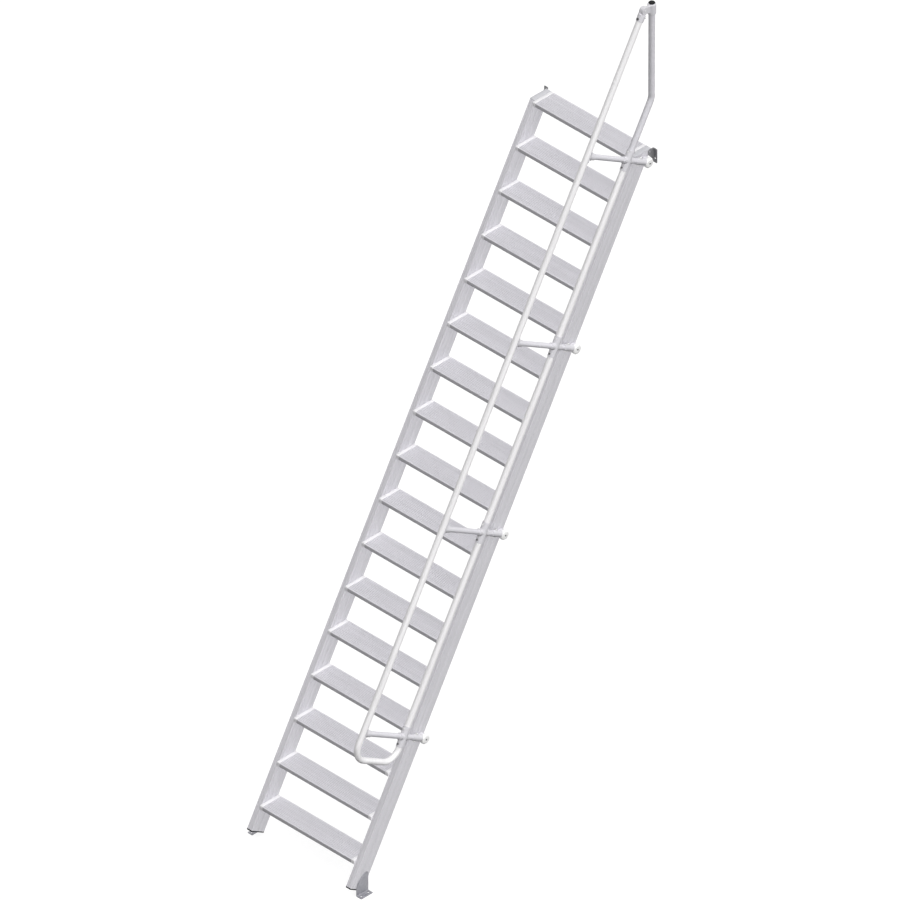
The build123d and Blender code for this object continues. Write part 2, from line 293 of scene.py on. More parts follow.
class Body:
    """Closed forms gathered into one mesh."""

    def __init__(self) -> None:
        """Start with nothing."""
        self.work = bmesh.new()

    def ring(self, loop: Loop, place: Matrix, rise: Rise = 0.0) -> Ring:
        """Add the points of an outline.

        Args:
            loop: The outline.
            place: Where it lies.
            rise: How far its points stand off that place, the same everywhere or by the point.

        Returns:
            The points in order.
        """
        height = rise if callable(rise) else lambda a, b: rise
        return [self.work.verts.new(place @ Vector((a, b, height(a, b)))) for a, b in loop]

    def band(self, low: Ring, high: Ring) -> None:
        """Join two rings of as many points by a band of faces."""
        for number in range(len(low)):
            after = (number + 1) % len(low)
            self.work.faces.new((low[number], low[after], high[after], high[number]))

    def fill(self, rings: Sequence[Ring]) -> None:
        """Fill the flat area between an outer ring and the rings inside it."""
        pairs = [(ring[n], ring[n - 1]) for ring in rings for n in range(len(ring))]
        edges = [self.work.edges.get(pair) for pair in pairs]
        bmesh.ops.triangle_fill(self.work, use_beauty=True, edges=edges)

    def prism(self, loops: Sequence[Loop], place: Matrix, far: Rise) -> "Body":
        """Draw outlines out into a solid.

        Args:
            loops: The outer outline and then the outlines of the holes.
            place: Where the outlines lie.
            far: How far they are drawn out, the same everywhere or by the place in the outline.

        Returns:
            This body.
        """
        near_rings, far_rings = [], []
        for loop in loops:
            near_rings.append(self.ring(loop, place))
            far_rings.append(self.ring(loop, place, far))
            self.band(near_rings[-1], far_rings[-1])
        self.fill(near_rings)
        self.fill(far_rings)
        return self

    def turned(self, profile: Loop, place: Matrix, sides: int = 32) -> "Body":
        """Turn a profile about the place's z.

        Args:
            profile: Radius and height of each point. The ends are closed by a flat face.
            place: Where the turned form stands.
            sides: Faces round it.

        Returns:
            This body.
        """
        rings = [self.ring(circle(radius, sides), place, height) for radius, height in profile]
        for low, high in zip(rings, rings[1:]):
            self.band(low, high)
        self.work.faces.new(rings[0])
        self.work.faces.new(rings[-1])
        return self

    def tube(self, route: Sequence[Vector], outer: float, inner: float, sides: int = 48) -> "Body":
        """Run an open tube along a route that lies in a plane of constant x.

        Args:
            route: Its points, close together in the bends.
            outer: Outer radius.
            inner: Inner radius.
            sides: Faces round it.

        Returns:
            This body.
        """
        skins: list[list[Ring]] = [[], []]
        last = len(route) - 1
        for number, point in enumerate(route):
            along = route[min(number + 1, last)] - route[max(number - 1, 0)]
            place = placing(point, X_AXIS, along)
            for skin, radius in zip(skins, (outer, inner)):
                skin.append(self.ring(circle(radius, sides), place))
        for skin in skins:
            for low, high in zip(skin, skin[1:]):
                self.band(low, high)
        for end in (0, -1):
            self.band(skins[0][end], skins[1][end])
        return self

    def cut_across(self, stations: Sequence[float]) -> "Body":
        """Put a line of points through the body at each of these values of x.

        Args:
            stations: The values of x.

        Returns:
            This body.
        """
        for station in stations:
            everything = [*self.work.verts, *self.work.edges, *self.work.faces]
            bmesh.ops.bisect_plane(
                self.work, geom=everything, plane_co=(station, 0, 0), plane_no=(1, 0, 0), dist=WELD
            )
        return self

    def bend(self, change: Callable[[Vector], Vector]) -> "Body":
        """Move each point as a function says."""
        for vertex in self.work.verts:
            vertex.co = change(vertex.co)
        return self

    def soften(self, width: float, angle: float) -> "Body":
        """Round the edges that turn by more than an angle.

        Args:
            width: Width of the rounding.
            angle: Edges that turn by less stay as they are.

        Returns:
            This body.
        """
        bmesh.ops.recalc_face_normals(self.work, faces=self.work.faces)
        sharp = [e for e in self.work.edges if e.is_manifold and e.calc_face_angle(0.0) > angle]
        bmesh.ops.bevel(self.work, geom=sharp, offset=width, segments=2, profile=0.5, affect="EDGES")
        return self

    def add(self, mesh: bpy.types.Mesh, place: Matrix) -> "Body":
        """Add a copy of a mesh, moved to a place.

        Args:
            mesh: The mesh to copy.
            place: Where the copy goes.

        Returns:
            This body.
        """
        copy = mesh.copy()
        copy.transform(place)
        self.work.from_mesh(copy)
        bpy.data.meshes.remove(copy)
        return self

    def mesh(self, name: str) -> bpy.types.Mesh:
        """Close the work and give its mesh, shaded smooth between its sharp edges.

        Args:
            name: The mesh's name.

        Returns:
            The mesh. The body can't be worked on any more.
        """
        bmesh.ops.remove_doubles(self.work, verts=self.work.verts, dist=WELD)
        bmesh.ops.recalc_face_normals(self.work, faces=self.work.faces)
        made = bpy.data.meshes.new(name)
        self.work.to_mesh(made)
        self.work.free()
        shade(made)
        return made


def shade(mesh: bpy.types.Mesh) -> None:
    """Shade a mesh smooth, with its sharp edges kept."""
    mesh.shade_smooth()
    mesh.set_sharp_from_angle(angle=SMOOTH_ANGLE)


def combined(base: bpy.types.Mesh, tool: bpy.types.Mesh, cut: Cut) -> bpy.types.Mesh:
    """Join two closed meshes, or take the second out of the first.

    Args:
        base: The mesh that is worked on.
        tool: The mesh that works on it.
        cut: Which of the two is done.

    Returns:
        The new mesh.
    """
    pair = [bpy.data.objects.new(name, mesh) for name, mesh in (("base", base), ("tool", tool))]
    for piece in pair:
        bpy.context.scene.collection.objects.link(piece)
    step = pair[0].modifiers.new("cut", "BOOLEAN")
    step.operation = cut.value
    step.object = pair[1]
    step.solver = "EXACT"
    bpy.context.view_layer.update()
    done = bpy.data.meshes.new_from_object(pair[0].evaluated_get(bpy.context.evaluated_depsgraph_get()))
    for piece in pair:
        bpy.data.objects.remove(piece)
    return done


class Form(Protocol):
    """A simple form that knows how far any point is from its surface."""

    def distance(self, points: np.ndarray) -> np.ndarray:
        """Distance of each point, below zero inside."""

    def reach(self) -> tuple[np.ndarray, np.ndarray]:
        """Lowest and highest corner of the form."""


def cornered(gaps: np.ndarray, rim: float) -> np.ndarray:
    """Distance to a form from the gaps to its faces, with its corners rounded.

    Args:
        gaps: One row for each pair of faces, below zero inside them.
        rim: Radius of the corners.

    Returns:
        The distance of each point.
    """
    inner = gaps + rim
    outside = np.linalg.norm(np.maximum(inner, 0.0), axis=0)
    return outside + np.minimum(inner.max(axis=0), 0.0) - rim


@dataclass(frozen=True)
class Drum:
    """A round bar with rounded rims."""

    radius: float
    half: float
    axis: tuple[float, float, float]
    centre: tuple[float, float, float] = (0.0, 0.0, 0.0)
    rim: float = 0.0

    def distance(self, points: np.ndarray) -> np.ndarray:
        """Distance of each point, below zero inside.

        Args:
            points: Places in rows of x, y and z.

        Returns:
            One distance for each.
        """
        offset = points - np.array(self.centre)
        height = offset @ np.array(self.axis)
        radial = np.sqrt(np.maximum((offset**2).sum(axis=1) - height**2, 0.0))
        return cornered(np.stack([radial - self.radius, np.abs(height) - self.half]), self.rim)

    def reach(self) -> tuple[np.ndarray, np.ndarray]:
        """Lowest and highest corner of the bar.

        Returns:
            The two corners.
        """
        axis = np.array(self.axis)
        half = np.abs(axis) * self.half + np.sqrt(1.0 - axis**2) * self.radius
        return np.array(self.centre) - half, np.array(self.centre) + half


@dataclass(frozen=True)
class Slab:
    """A block with rounded edges, turned about x."""

    half: tuple[float, float, float]
    centre: tuple[float, float, float] = (0.0, 0.0, 0.0)
    turn: float = 0.0
    rim: float = 0.0

    def _offset(self, points: np.ndarray) -> np.ndarray:
        """The points seen from the block's own middle and directions."""
        c, s = math.cos(self.turn), math.sin(self.turn)
        return (points - np.array(self.centre)) @ np.array([[1, 0, 0], [0, c, -s], [0, s, c]])

    def distance(self, points: np.ndarray) -> np.ndarray:
        """Distance of each point, below zero inside."""
        gaps = np.abs(self._offset(points)) - np.array(self.half)
        return cornered(gaps.T, self.rim)

    def reach(self) -> tuple[np.ndarray, np.ndarray]:
        """Lowest and highest corner of a ball round the block."""
        half = np.full(3, np.linalg.norm(self.half))
        return np.array(self.centre) - half, np.array(self.centre) + half


def blended(first: np.ndarray, second: np.ndarray, radius: float) -> np.ndarray:
    """The lower of two distances, with a smooth turn where they meet."""
    near = np.maximum(radius - np.abs(first - second), 0.0) / radius
    return np.minimum(first, second) - near * near * radius / 4


@dataclass(frozen=True)
class Casting:
    """A casting: forms that flow into each other, less the holes through them."""

    forms: tuple[Form, ...]
    holes: tuple[Form, ...] = ()
    within: Form | None = None
    blend: float = 0.008
    lip: float = 0.0012
    grain: float = 0.002
    margin: float = 0.005
    probe_share: float = 0.05
    settles: int = 4
    least_slope: float = 0.25

    def distance(self, points: np.ndarray) -> np.ndarray:
        """Distance of each point from the casting's skin, below zero inside.

        Args:
            points: Places in rows of x, y and z.

        Returns:
            One distance for each.
        """
        field = self.forms[0].distance(points)
        for form in self.forms[1:]:
            field = blended(field, form.distance(points), self.blend)
        for hole in self.holes:
            field = -blended(-field, hole.distance(points), self.lip)
        if self.within is not None:
            field = np.maximum(field, self.within.distance(points))
        return field

    def _slope(self, points: np.ndarray) -> np.ndarray:
        """Direction in which the distance grows at each point.

        Args:
            points: Places in rows of x, y and z.

        Returns:
            One direction for each.
        """
        step = self.grain * self.probe_share
        sides = []
        for axis in np.eye(3) * step:
            sides.append(self.distance(points + axis) - self.distance(points - axis))
        return np.stack(sides, axis=1) / (2 * step)

    def _settle(self, points: np.ndarray) -> np.ndarray:
        """Draw points near the skin onto it.

        Args:
            points: Places in rows of x, y and z.

        Returns:
            The points on the skin.
        """
        for _ in range(self.settles):
            slope = self._slope(points)
            steep = np.maximum((slope**2).sum(axis=1), self.least_slope)
            move = np.clip(self.distance(points) / steep, -self.grain / 2, self.grain / 2)
            points = points - move[:, None] * slope
        return points

    def _grid(self) -> np.ndarray:
        """Points of an even grid round all the forms.

        Returns:
            The points by their three counts.
        """
        lows, highs = zip(*(form.reach() for form in self.forms))
        low, high = np.min(lows, axis=0) - self.margin, np.max(highs, axis=0) + self.margin
        axes = [np.arange(a, b, self.grain) for a, b in zip(low, high)]
        return np.stack(np.meshgrid(*axes, indexing="ij"), axis=-1)

    def _crossed(
        self, grid: np.ndarray, field: np.ndarray, axis: int
    ) -> tuple[np.ndarray, np.ndarray]:
        """Find where the skin cuts the grid's lines that run along an axis.

        Args:
            grid: The grid's points.
            field: Their distances.
            axis: 0, 1 or 2.

        Returns:
            Which steps of the lines are cut, and the place of each cut.
        """
        near = tuple(slice(None, -1) if a == axis else slice(None) for a in range(3))
        far = tuple(slice(1, None) if a == axis else slice(None) for a in range(3))
        crossed = (field[near] < 0) != (field[far] < 0)
        share = np.where(crossed, field[near], 0.0)
        share = share / np.where(crossed, field[near] - field[far], 1.0)
        return crossed, grid[near] + share[..., None] * self.grain * np.eye(3)[axis]

    @staticmethod
    def _faces(crossings: Sequence[np.ndarray], number: np.ndarray, inside: np.ndarray) -> np.ndarray:
        """Put a face across each cut step, through the four cells round it.

        Args:
            crossings: For each axis, which steps are cut.
            number: The number of the point in each cell.
            inside: Which of the grid's points lie inside.

        Returns:
            The four points of each face.
        """
        faces = []
        for axis, crossed in enumerate(crossings):
            second, third = (axis + 1) % 3, (axis + 2) % 3
            where = np.argwhere(crossed)
            corners = []
            for back_second, back_third in ((1, 1), (0, 1), (0, 0), (1, 0)):
                cell = where.copy()
                cell[:, second] -= back_second
                cell[:, third] -= back_third
                corners.append(number[tuple(cell.T)])
            quads = np.stack(corners, axis=1)
            outward = inside[tuple(where.T)]
            faces.append(np.where(outward[:, None], quads, quads[:, ::-1]))
        return np.concatenate(faces)

    def skin(self) -> tuple[np.ndarray, np.ndarray]:
        """Mesh the casting's skin, with one point in each cell that it passes through.

        Returns:
            Its points, and the four points of each face.
        """
        grid = self._grid()
        field = self.distance(grid.reshape(-1, 3)).reshape(grid.shape[:3])
        cells = tuple(size - 1 for size in field.shape)
        total, count = np.zeros((*cells, 3)), np.zeros(cells)
        crossings = []
        for axis in range(3):
            crossed, places = self._crossed(grid, field, axis)
            crossings.append(crossed)
            for corner in product((0, 1), repeat=2):
                shift = list(corner)
                part = tuple(
                    slice(None) if a == axis else slice(k, k + cells[a])
                    for a, k in ((a, 0 if a == axis else shift.pop()) for a in range(3))
                )
                total += places[part] * crossed[part][..., None]
                count += crossed[part]
        used = count > 0
        number = np.full(cells, -1)
        number[used] = np.arange(used.sum())
        points = self._settle(total[used] / count[used][:, None])
        return points, self._faces(crossings, number, field < 0)

    def mesh(self, name: str) -> bpy.types.Mesh:
        """Give the skin as a mesh.

        Args:
            name: The mesh's name.

        Returns:
            The mesh.
        """
        points, faces = self.skin()
        made = bpy.data.meshes.new(name)
        made.from_pydata(points.tolist(), [], faces.tolist())
        made.update()
        shade(made)
        return made


class Wire:
    """A shader socket that Python's operators work on."""

    def __init__(self, sheet: "NodeSheet", socket: bpy.types.NodeSocket) -> None:
        """Wrap one output socket of a sheet."""
        self.sheet = sheet
        self.socket = socket

    def _maths(self, operation: str, first: "Wire | float", second: "Wire | float") -> "Wire":
        """Add a Math node."""
        return self.sheet.node("ShaderNodeMath", {"operation": operation}, {0: first, 1: second})

    def __add__(self, other: "Wire | float") -> "Wire":
        """Sum."""
        return self._maths("ADD", self, other)

    def __radd__(self, other: float) -> "Wire":
        """Sum, with a number first."""
        return self._maths("ADD", other, self)

    def __sub__(self, other: "Wire | float") -> "Wire":
        """Difference."""
        return self._maths("SUBTRACT", self, other)

    def __rsub__(self, other: float) -> "Wire":
        """Difference from a number."""
        return self._maths("SUBTRACT", other, self)

    def __mul__(self, other: "Wire | float") -> "Wire":
        """Product."""
        return self._maths("MULTIPLY", self, other)

    def __rmul__(self, other: float) -> "Wire":
        """Product, with a number first."""
        return self._maths("MULTIPLY", other, self)

    def between(self, low: float, high: float) -> "Wire":
        """Spread the values from low to high over 0 to 1, smoothly and held at both ends."""
        settings = {"interpolation_type": "SMOOTHSTEP"}
        return self.sheet.node("ShaderNodeMapRange", settings, {0: self, 1: low, 2: high})


class NodeSheet:
    """A sheet of shader nodes."""

    def __init__(self, tree: bpy.types.NodeTree) -> None:
        """Take up a tree and clear it."""
        self.tree = tree
        tree.nodes.clear()

    def node(
        self,
        kind: str,
        settings: Mapping[str, Setting] | None = None,
        inputs: Mapping[int | str, Setting] | None = None,
        output: int | str = 0,
    ) -> Wire:
        """Add a node.

        Args:
            kind: Blender's name of the node's type.
            settings: Its own settings, set before its sockets.
            inputs: Values or wires of its sockets, by number or name.
            output: Which of its outputs is given back.

        Returns:
            That output.
        """
        made = self.tree.nodes.new(kind)
        for key, value in (settings or {}).items():
            setattr(made, key, value)
        for key, value in (inputs or {}).items():
            if isinstance(value, Wire):
                self.tree.links.new(value.socket, made.inputs[key])
            else:
                made.inputs[key].default_value = value
        return Wire(self, made.outputs[output])

    def lead_out(self, shader: Wire, kind: str) -> None:
        """Lead a shader to an output node of a kind."""
        end = self.tree.nodes.new(kind)
        self.tree.links.new(shader.socket, end.inputs["Surface"])

    def seen_straight(self) -> Wire:
        """1 for what the camera sees straight, in a gloss or through glass, and 0 otherwise.

        Returns:
            The mask.
        """
        camera = self.node("ShaderNodeLightPath", output="Is Camera Ray")
        gloss = self.node("ShaderNodeLightPath", output="Is Glossy Ray")
        through = self.node("ShaderNodeLightPath", output="Is Transmission Ray")
        return (camera + gloss + through).between(0.0, 1.0)


class FinishSheet(NodeSheet):
    """The node sheet of one material."""

    def __init__(self, name: str) -> None:
        """Start an empty material of this name.

        Args:
            name: The material's name.
        """
        self.material = bpy.data.materials.new(name)
        self.material.use_nodes = True
        super().__init__(self.material.node_tree)

    def vector(self, operation: str, first: Setting, second: Setting, output: int = 0) -> Wire:
        """Add a Vector Math node."""
        return self.node("ShaderNodeVectorMath", {"operation": operation}, {0: first, 1: second}, output)

    def scaled(self, vector: Setting, share: Wire | float) -> Wire:
        """A vector made longer or shorter."""
        return self.node("ShaderNodeVectorMath", {"operation": "SCALE"}, {0: vector, "Scale": share})

    def place(self) -> Wire:
        """The surface's place in the frame."""
        return self.node("ShaderNodeNewGeometry", output="Position")

    def drawn(self, lay: Vector, along: float) -> Wire:
        """The place, shortened along a direction, which draws patterns out into lines.

        Args:
            lay: Direction in which the metal was drawn.
            along: Scale along it.

        Returns:
            The scaled place.
        """
        here = self.place()
        axis = tuple(lay.normalized())
        run = self.vector("DOT_PRODUCT", here, axis, output=1)
        return self.vector("ADD", here, self.scaled(axis, run * (along - 1.0)))

    def noise(self, vector: Wire, scale: float, detail: float = 2.0, rough: float = 0.5) -> Wire:
        """Soft noise, about one half."""
        inputs = {"Vector": vector, "Scale": scale, "Detail": detail, "Roughness": rough}
        return self.node("ShaderNodeTexNoise", {"noise_dimensions": "3D"}, inputs)

    def mixed(self, factor: Wire | float, low: Wire | Colour, high: Wire | Colour) -> Wire:
        """Mix two colours, from the low one at 0 to the high one at 1."""
        start, end = (part if isinstance(part, Wire) else (*part, 1.0) for part in (low, high))
        return self.node("ShaderNodeMix", {"data_type": "RGBA"}, {0: factor, 6: start, 7: end}, 2)

    def shelter(self, distance: float) -> Wire:
        """How much a place is hemmed in by what is near it, from 0 in the open to 1."""
        inputs = {"Distance": distance}
        return 1.0 - self.node("ShaderNodeAmbientOcclusion", {"samples": 6}, inputs, "AO")

    def facing(self, direction: Vector) -> Wire:
        """How squarely a place faces a direction, as a cosine."""
        normal = self.node("ShaderNodeNewGeometry", output="True Normal")
        return self.vector("DOT_PRODUCT", normal, tuple(direction), output=1)

    def bumped(self, height: Wire, depth: float) -> Wire:
        """A surface normal raised by a height."""
        return self.node("ShaderNodeBump", {}, {"Strength": 1.0, "Distance": depth, "Height": height})

    def close(self, shader: Wire) -> bpy.types.Material:
        """Lead a shader to the material's output and give the material."""
        self.lead_out(shader, "ShaderNodeOutputMaterial")
        return self.material

    def surface(self, inputs: Mapping[str, Setting]) -> bpy.types.Material:
        """Close the sheet with a Principled shader that has these values or wires."""
        return self.close(self.node("ShaderNodeBsdfPrincipled", {}, inputs))


def toned(colour: Colour, share: float) -> Colour:
    """A colour made darker or lighter, as far as white."""
    return tuple(min(1.0, share * part) for part in colour)


@dataclass(frozen=True)
class DrawnAluminium:
    """Extruded or drawn aluminium: die lines along its run, faint bands, light handling, and painted
    shade in its hollows and on faces towards -y.
    """

    colour: Colour
    lay: Vector
    metal: float = 0.2
    sheen: float = 0.25
    rough: float = 0.42
    # Share of painted shade in hollows, grooves and corners.
    hollow_shading: float = 0.16
    # Share of painted shade on faces that look towards -y.
    front_shading: float = 0.0
    line_scale: float = 700.0
    band_scale: float = 55.0
    stain_scale: float = 7.0
    scratch_scale: float = 260.0
    scratch_lean: Vector = Vector((0.25, 0.1, 0.0))
    scuffed: Colour = (0.93, 0.93, 0.94)
    # Dark grey of that painted shade.
    shading_grey: Colour = (0.24, 0.235, 0.24)
    # Dark grey of the painted shade on those faces.
    nose_shade_grey: Colour = (0.20, 0.195, 0.20)
    relief: float = 0.00012

    def make(self, name: str) -> bpy.types.Material:
        """Build the material under a name.

        Args:
            name: The material's name.

        Returns:
            The material.
        """
        sheet = FinishSheet(name)
        lines = sheet.noise(sheet.drawn(self.lay, 0.006), self.line_scale, 3.0, 0.6)
        bands = sheet.noise(sheet.drawn(self.lay, 0.02), self.band_scale)
        stains = sheet.noise(sheet.place(), self.stain_scale, 5.0, 0.62)
        scratch = sheet.noise(sheet.drawn(self.lay + self.scratch_lean, 0.02), self.scratch_scale, 1.0)
        scuffs = scratch.between(0.70, 0.76) * stains.between(0.45, 0.62)
        streaks = lines.between(0.25, 0.75) * 0.55 + bands.between(0.32, 0.68) * 0.45
        tone = sheet.mixed(streaks, toned(self.colour, 0.89), toned(self.colour, 1.05))
        tone = sheet.mixed(stains.between(0.35, 0.75) * 0.22, tone, toned(self.colour, 0.88))
        tone = sheet.mixed(scuffs * 0.35, tone, self.scuffed)
        # Painted shade: places hemmed in by nearby surfaces, such as grooves, corners and gaps between
        # parts, are mixed towards a dark grey by ambient occlusion.
        tone = sheet.mixed(sheet.shelter(0.018) * self.hollow_shading, tone, self.shading_grey)
        # Painted shade: faces that look towards -y, such as the treads' noses, are darkened, a little
        # unevenly along the bands.
        shaded_fronts = sheet.facing(-Y_AXIS).between(0.75, 0.97) * (bands * 0.3 + 0.85) * self.front_shading
        return sheet.surface(
            {
                "Base Color": sheet.mixed(shaded_fronts, tone, self.nose_shade_grey),
                "Metallic": self.metal,
                "Specular IOR Level": self.sheen,
                "Roughness": self.rough + (lines - 0.5) * 0.16 + stains.between(0.4, 0.8) * 0.10,
                "Normal": sheet.bumped(lines * 0.6 + scuffs * -0.5 + bands * 0.25, self.relief),
            }
        )


@dataclass(frozen=True)
class CastAluminium:
    """Sand-cast, blasted aluminium: fine grain, soft mottling, painted shade in its corners."""

    colour: Colour
    metal: float = 0.1
    sheen: float = 0.15
    rough: float = 0.55
    # Share of painted shade in corners and gaps.
    hollow_shading: float = 0.2
    sand_scale: float = 1400.0
    mottle_scale: float = 60.0
    pit_scale: float = 420.0
    # Dark grey of that painted shade.
    shading_grey: Colour = (0.22, 0.21, 0.20)
    relief: float = 0.00025

    def make(self, name: str) -> bpy.types.Material:
        """Build the material under a name.

        Args:
            name: The material's name.

        Returns:
            The material.
        """
        sheet = FinishSheet(name)
        sand = sheet.noise(sheet.place(), self.sand_scale, 3.0, 0.7)
        mottle = sheet.noise(sheet.place(), self.mottle_scale, 4.0, 0.6)
        inputs = {"Vector": sheet.place(), "Scale": self.pit_scale}
        pits = sheet.node("ShaderNodeTexVoronoi", {}, inputs)
        pitted = (1.0 - pits.between(0.06, 0.16)) * mottle.between(0.5, 0.6)
        shares = sand * 0.35 + mottle * 0.65
        tone = sheet.mixed(shares, toned(self.colour, 0.84), toned(self.colour, 1.05))
        tone = sheet.mixed(pitted * 0.5, tone, toned(self.colour, 0.6))
        return sheet.surface(
            {
                # Painted shade: corners and gaps between parts are mixed towards a dark grey by ambient
                # occlusion.
                "Base Color": sheet.mixed(sheet.shelter(0.014) * self.hollow_shading, tone, self.shading_grey),
                "Metallic": self.metal,
                "Specular IOR Level": self.sheen,
                "Roughness": self.rough + (mottle - 0.5) * 0.2,
                "Normal": sheet.bumped(sand * 0.7 + pitted * -0.8, self.relief),
            }
        )


@dataclass(frozen=True)
class ZincSteel:
    """Hot-dip zinc on steel: flat crystals of slightly different greys."""

    colour: Colour
    spangle: float = 95.0
    metal: float = 0.45
    rough: float = 0.48
    # Dark grey of the painted shade in hollows.
    shading_grey: Colour = (0.12, 0.115, 0.11)
    relief: float = 0.0002

    def make(self, name: str) -> bpy.types.Material:
        """Build the material under a name.

        Args:
            name: The material's name.

        Returns:
            The material.
        """
        sheet = FinishSheet(name)
        warp = sheet.noise(sheet.place(), 160.0)
        where = sheet.vector("ADD", sheet.place(), sheet.scaled((1.0, 1.0, 1.0), warp * 0.006))
        inputs = {"Vector": where, "Scale": self.spangle}
        cells = sheet.node("ShaderNodeTexVoronoi", {}, inputs, "Color")
        crystal = sheet.node("ShaderNodeSeparateColor", {}, {0: cells})
        cloud = sheet.noise(sheet.place(), 22.0, 4.0, 0.6)
        shares = crystal * 0.6 + cloud * 0.4
        tone = sheet.mixed(shares, toned(self.colour, 0.80), toned(self.colour, 1.14))
        return sheet.surface(
            {
                # Painted shade: hollows and corners are darkened by ambient occlusion.
                "Base Color": sheet.mixed(sheet.shelter(0.02) * 0.3, tone, self.shading_grey),
                "Metallic": self.metal,
                "Roughness": self.rough + (crystal - 0.5) * 0.2,
                "Normal": sheet.bumped(crystal * 0.3 + cloud, self.relief),
            }
        )


@dataclass(frozen=True)
class MouldedPlastic:
    """Black moulded plastic with a fine grain, greyer where it has been rubbed."""

    colour: Colour = (0.012, 0.012, 0.013)
    rubbed: Colour = (0.05, 0.05, 0.052)
    relief: float = 0.0001

    def make(self, name: str) -> bpy.types.Material:
        """Build the material under a name.

        Args:
            name: The material's name.

        Returns:
            The material.
        """
        sheet = FinishSheet(name)
        grain = sheet.noise(sheet.place(), 2200.0, 2.0, 0.6)
        rub = sheet.noise(sheet.place(), 45.0, 4.0, 0.65)
        return sheet.surface(
            {
                "Base Color": sheet.mixed(rub.between(0.5, 0.75) * 0.35, self.colour, self.rubbed),
                "Specular IOR Level": 0.12,
                "Roughness": 0.42 + rub * 0.2,
                "Normal": sheet.bumped(grain, self.relief),
            }
        )


@dataclass(frozen=True)
class PaleFloor:
    """A plain pale floor, white where the light falls on it, that throws little light back up."""

    colour: Colour = (0.50, 0.50, 0.50)
    thrown_back: Colour = (0.12, 0.12, 0.12)
    lift: float = 0.56

    def make(self, name: str) -> bpy.types.Material:
        """Build the material under a name.

        Args:
            name: The material's name.

        Returns:
            The material.
        """
        sheet = FinishSheet(name)
        cloud = sheet.noise(sheet.place(), 0.8, 3.0)
        tone = sheet.mixed(cloud, toned(self.colour, 0.985), self.colour)
        seen = sheet.seen_straight()
        colour = sheet.mixed(seen, self.thrown_back, tone)
        diffuse = sheet.node("ShaderNodeBsdfDiffuse", {}, {"Color": colour})
        glow = sheet.node("ShaderNodeEmission", {}, {"Strength": seen * self.lift})
        return sheet.close(sheet.node("ShaderNodeAddShader", {}, {0: diffuse, 1: glow}))


def make_finishes(flight: Flight) -> dict[Finish, bpy.types.Material]:
    """Build every finish once.

    Args:
        flight: The stair's lines, for the direction in which the metal was drawn.

    Returns:
        The materials by finish.
    """
    uphill, outward = flight.uphill, flight.outward
    recipes = {
        Finish.STRINGER: DrawnAluminium((0.68, 0.67, 0.705), uphill),
        # The treads get stronger painted shade in their grooves and painted shade on their noses' front
        # faces.
        Finish.TREAD: DrawnAluminium((0.69, 0.68, 0.72), X_AXIS, 0.04, hollow_shading=0.3, front_shading=0.4),
        Finish.BRACKET: CastAluminium((0.88, 0.87, 0.89)),
        # Painted highlight: the post feet's domes get a lighter copy of the cast finish of their
        # sockets.
        Finish.FOOT_HIGHLIGHT: CastAluminium((0.96, 0.955, 0.95), metal=0.05),
        Finish.FITTING: CastAluminium((0.73, 0.72, 0.755), metal=0.0, rough=0.48),
        Finish.RAIL: DrawnAluminium((0.94, 0.93, 0.94), uphill, 0.06, 0.2),
        Finish.POST: DrawnAluminium((0.74, 0.73, 0.77), outward, 0.0, 0.1, 0.45),
        Finish.END_PLATE: DrawnAluminium((0.60, 0.60, 0.63), Y_AXIS),
        Finish.GALVANISED: ZincSteel((0.33, 0.33, 0.36)),
        # Painted shade: the wall angles get a darker copy of the feet's galvanised finish.
        Finish.WALL_PLATE: ZincSteel((0.24, 0.24, 0.25), rough=0.42),
        Finish.PLASTIC: MouldedPlastic(),
        Finish.BOLT: ZincSteel((0.72, 0.72, 0.72), 900.0, 0.6, 0.34),
        Finish.SCREW: ZincSteel((0.10, 0.10, 0.105), 900.0, 0.6, 0.4),
    }
    return {finish: recipe.make(finish.value) for finish, recipe in recipes.items()}


class Workshop:
    """Turns bodies into named pieces that ride on the frame, each in its finish."""

    def __init__(self, finishes: Mapping[Finish, bpy.types.Material]) -> None:
        """Open the workshop with its materials by finish."""
        self.finishes = finishes

    def deliver(self, name: str, body: Body, finish: Finish, slot: Slot, *replaces: str) -> None:
        """Hand over one piece.

        Args:
            name: The piece's name.
            body: Its form, in the frame's own place.
            finish: The finish that it gets.
            slot: The record's material slot for that finish. Not used.
            replaces: The frame's nodes that it stands for.
        """
        mesh = body.mesh(name)
        mesh.materials.append(self.finishes[finish])
        piece = bpy.data.objects.new(name, mesh)
        bpy.context.scene.collection.objects.link(piece)
        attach(piece, "root")
        if replaces:
            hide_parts(*replaces)
            self._compare(piece, replaces)
        log.info("%s: %d faces in %s", name, len(mesh.polygons), finish.value)

    def _compare(self, piece: bpy.types.Object, nodes: Sequence[str]) -> None:
        """Log how far a piece's box stands off the nodes that it replaces, in millimetres.

        Args:
            piece: The piece.
            nodes: The nodes that it replaces.
        """
        boxes = [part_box(node) for node in nodes]
        low = np.min([list(box[0]) for box in boxes], axis=0)
        high = np.max([list(box[1]) for box in boxes], axis=0)
        places = np.array([list(vertex.co) for vertex in piece.data.vertices])
        off = np.concatenate([places.min(axis=0) - low, places.max(axis=0) - high]) * 1000
        if np.abs(off).max() > 1.0:
            log.info("%s stands off its nodes by %s mm", piece.name, np.round(off, 1).tolist())


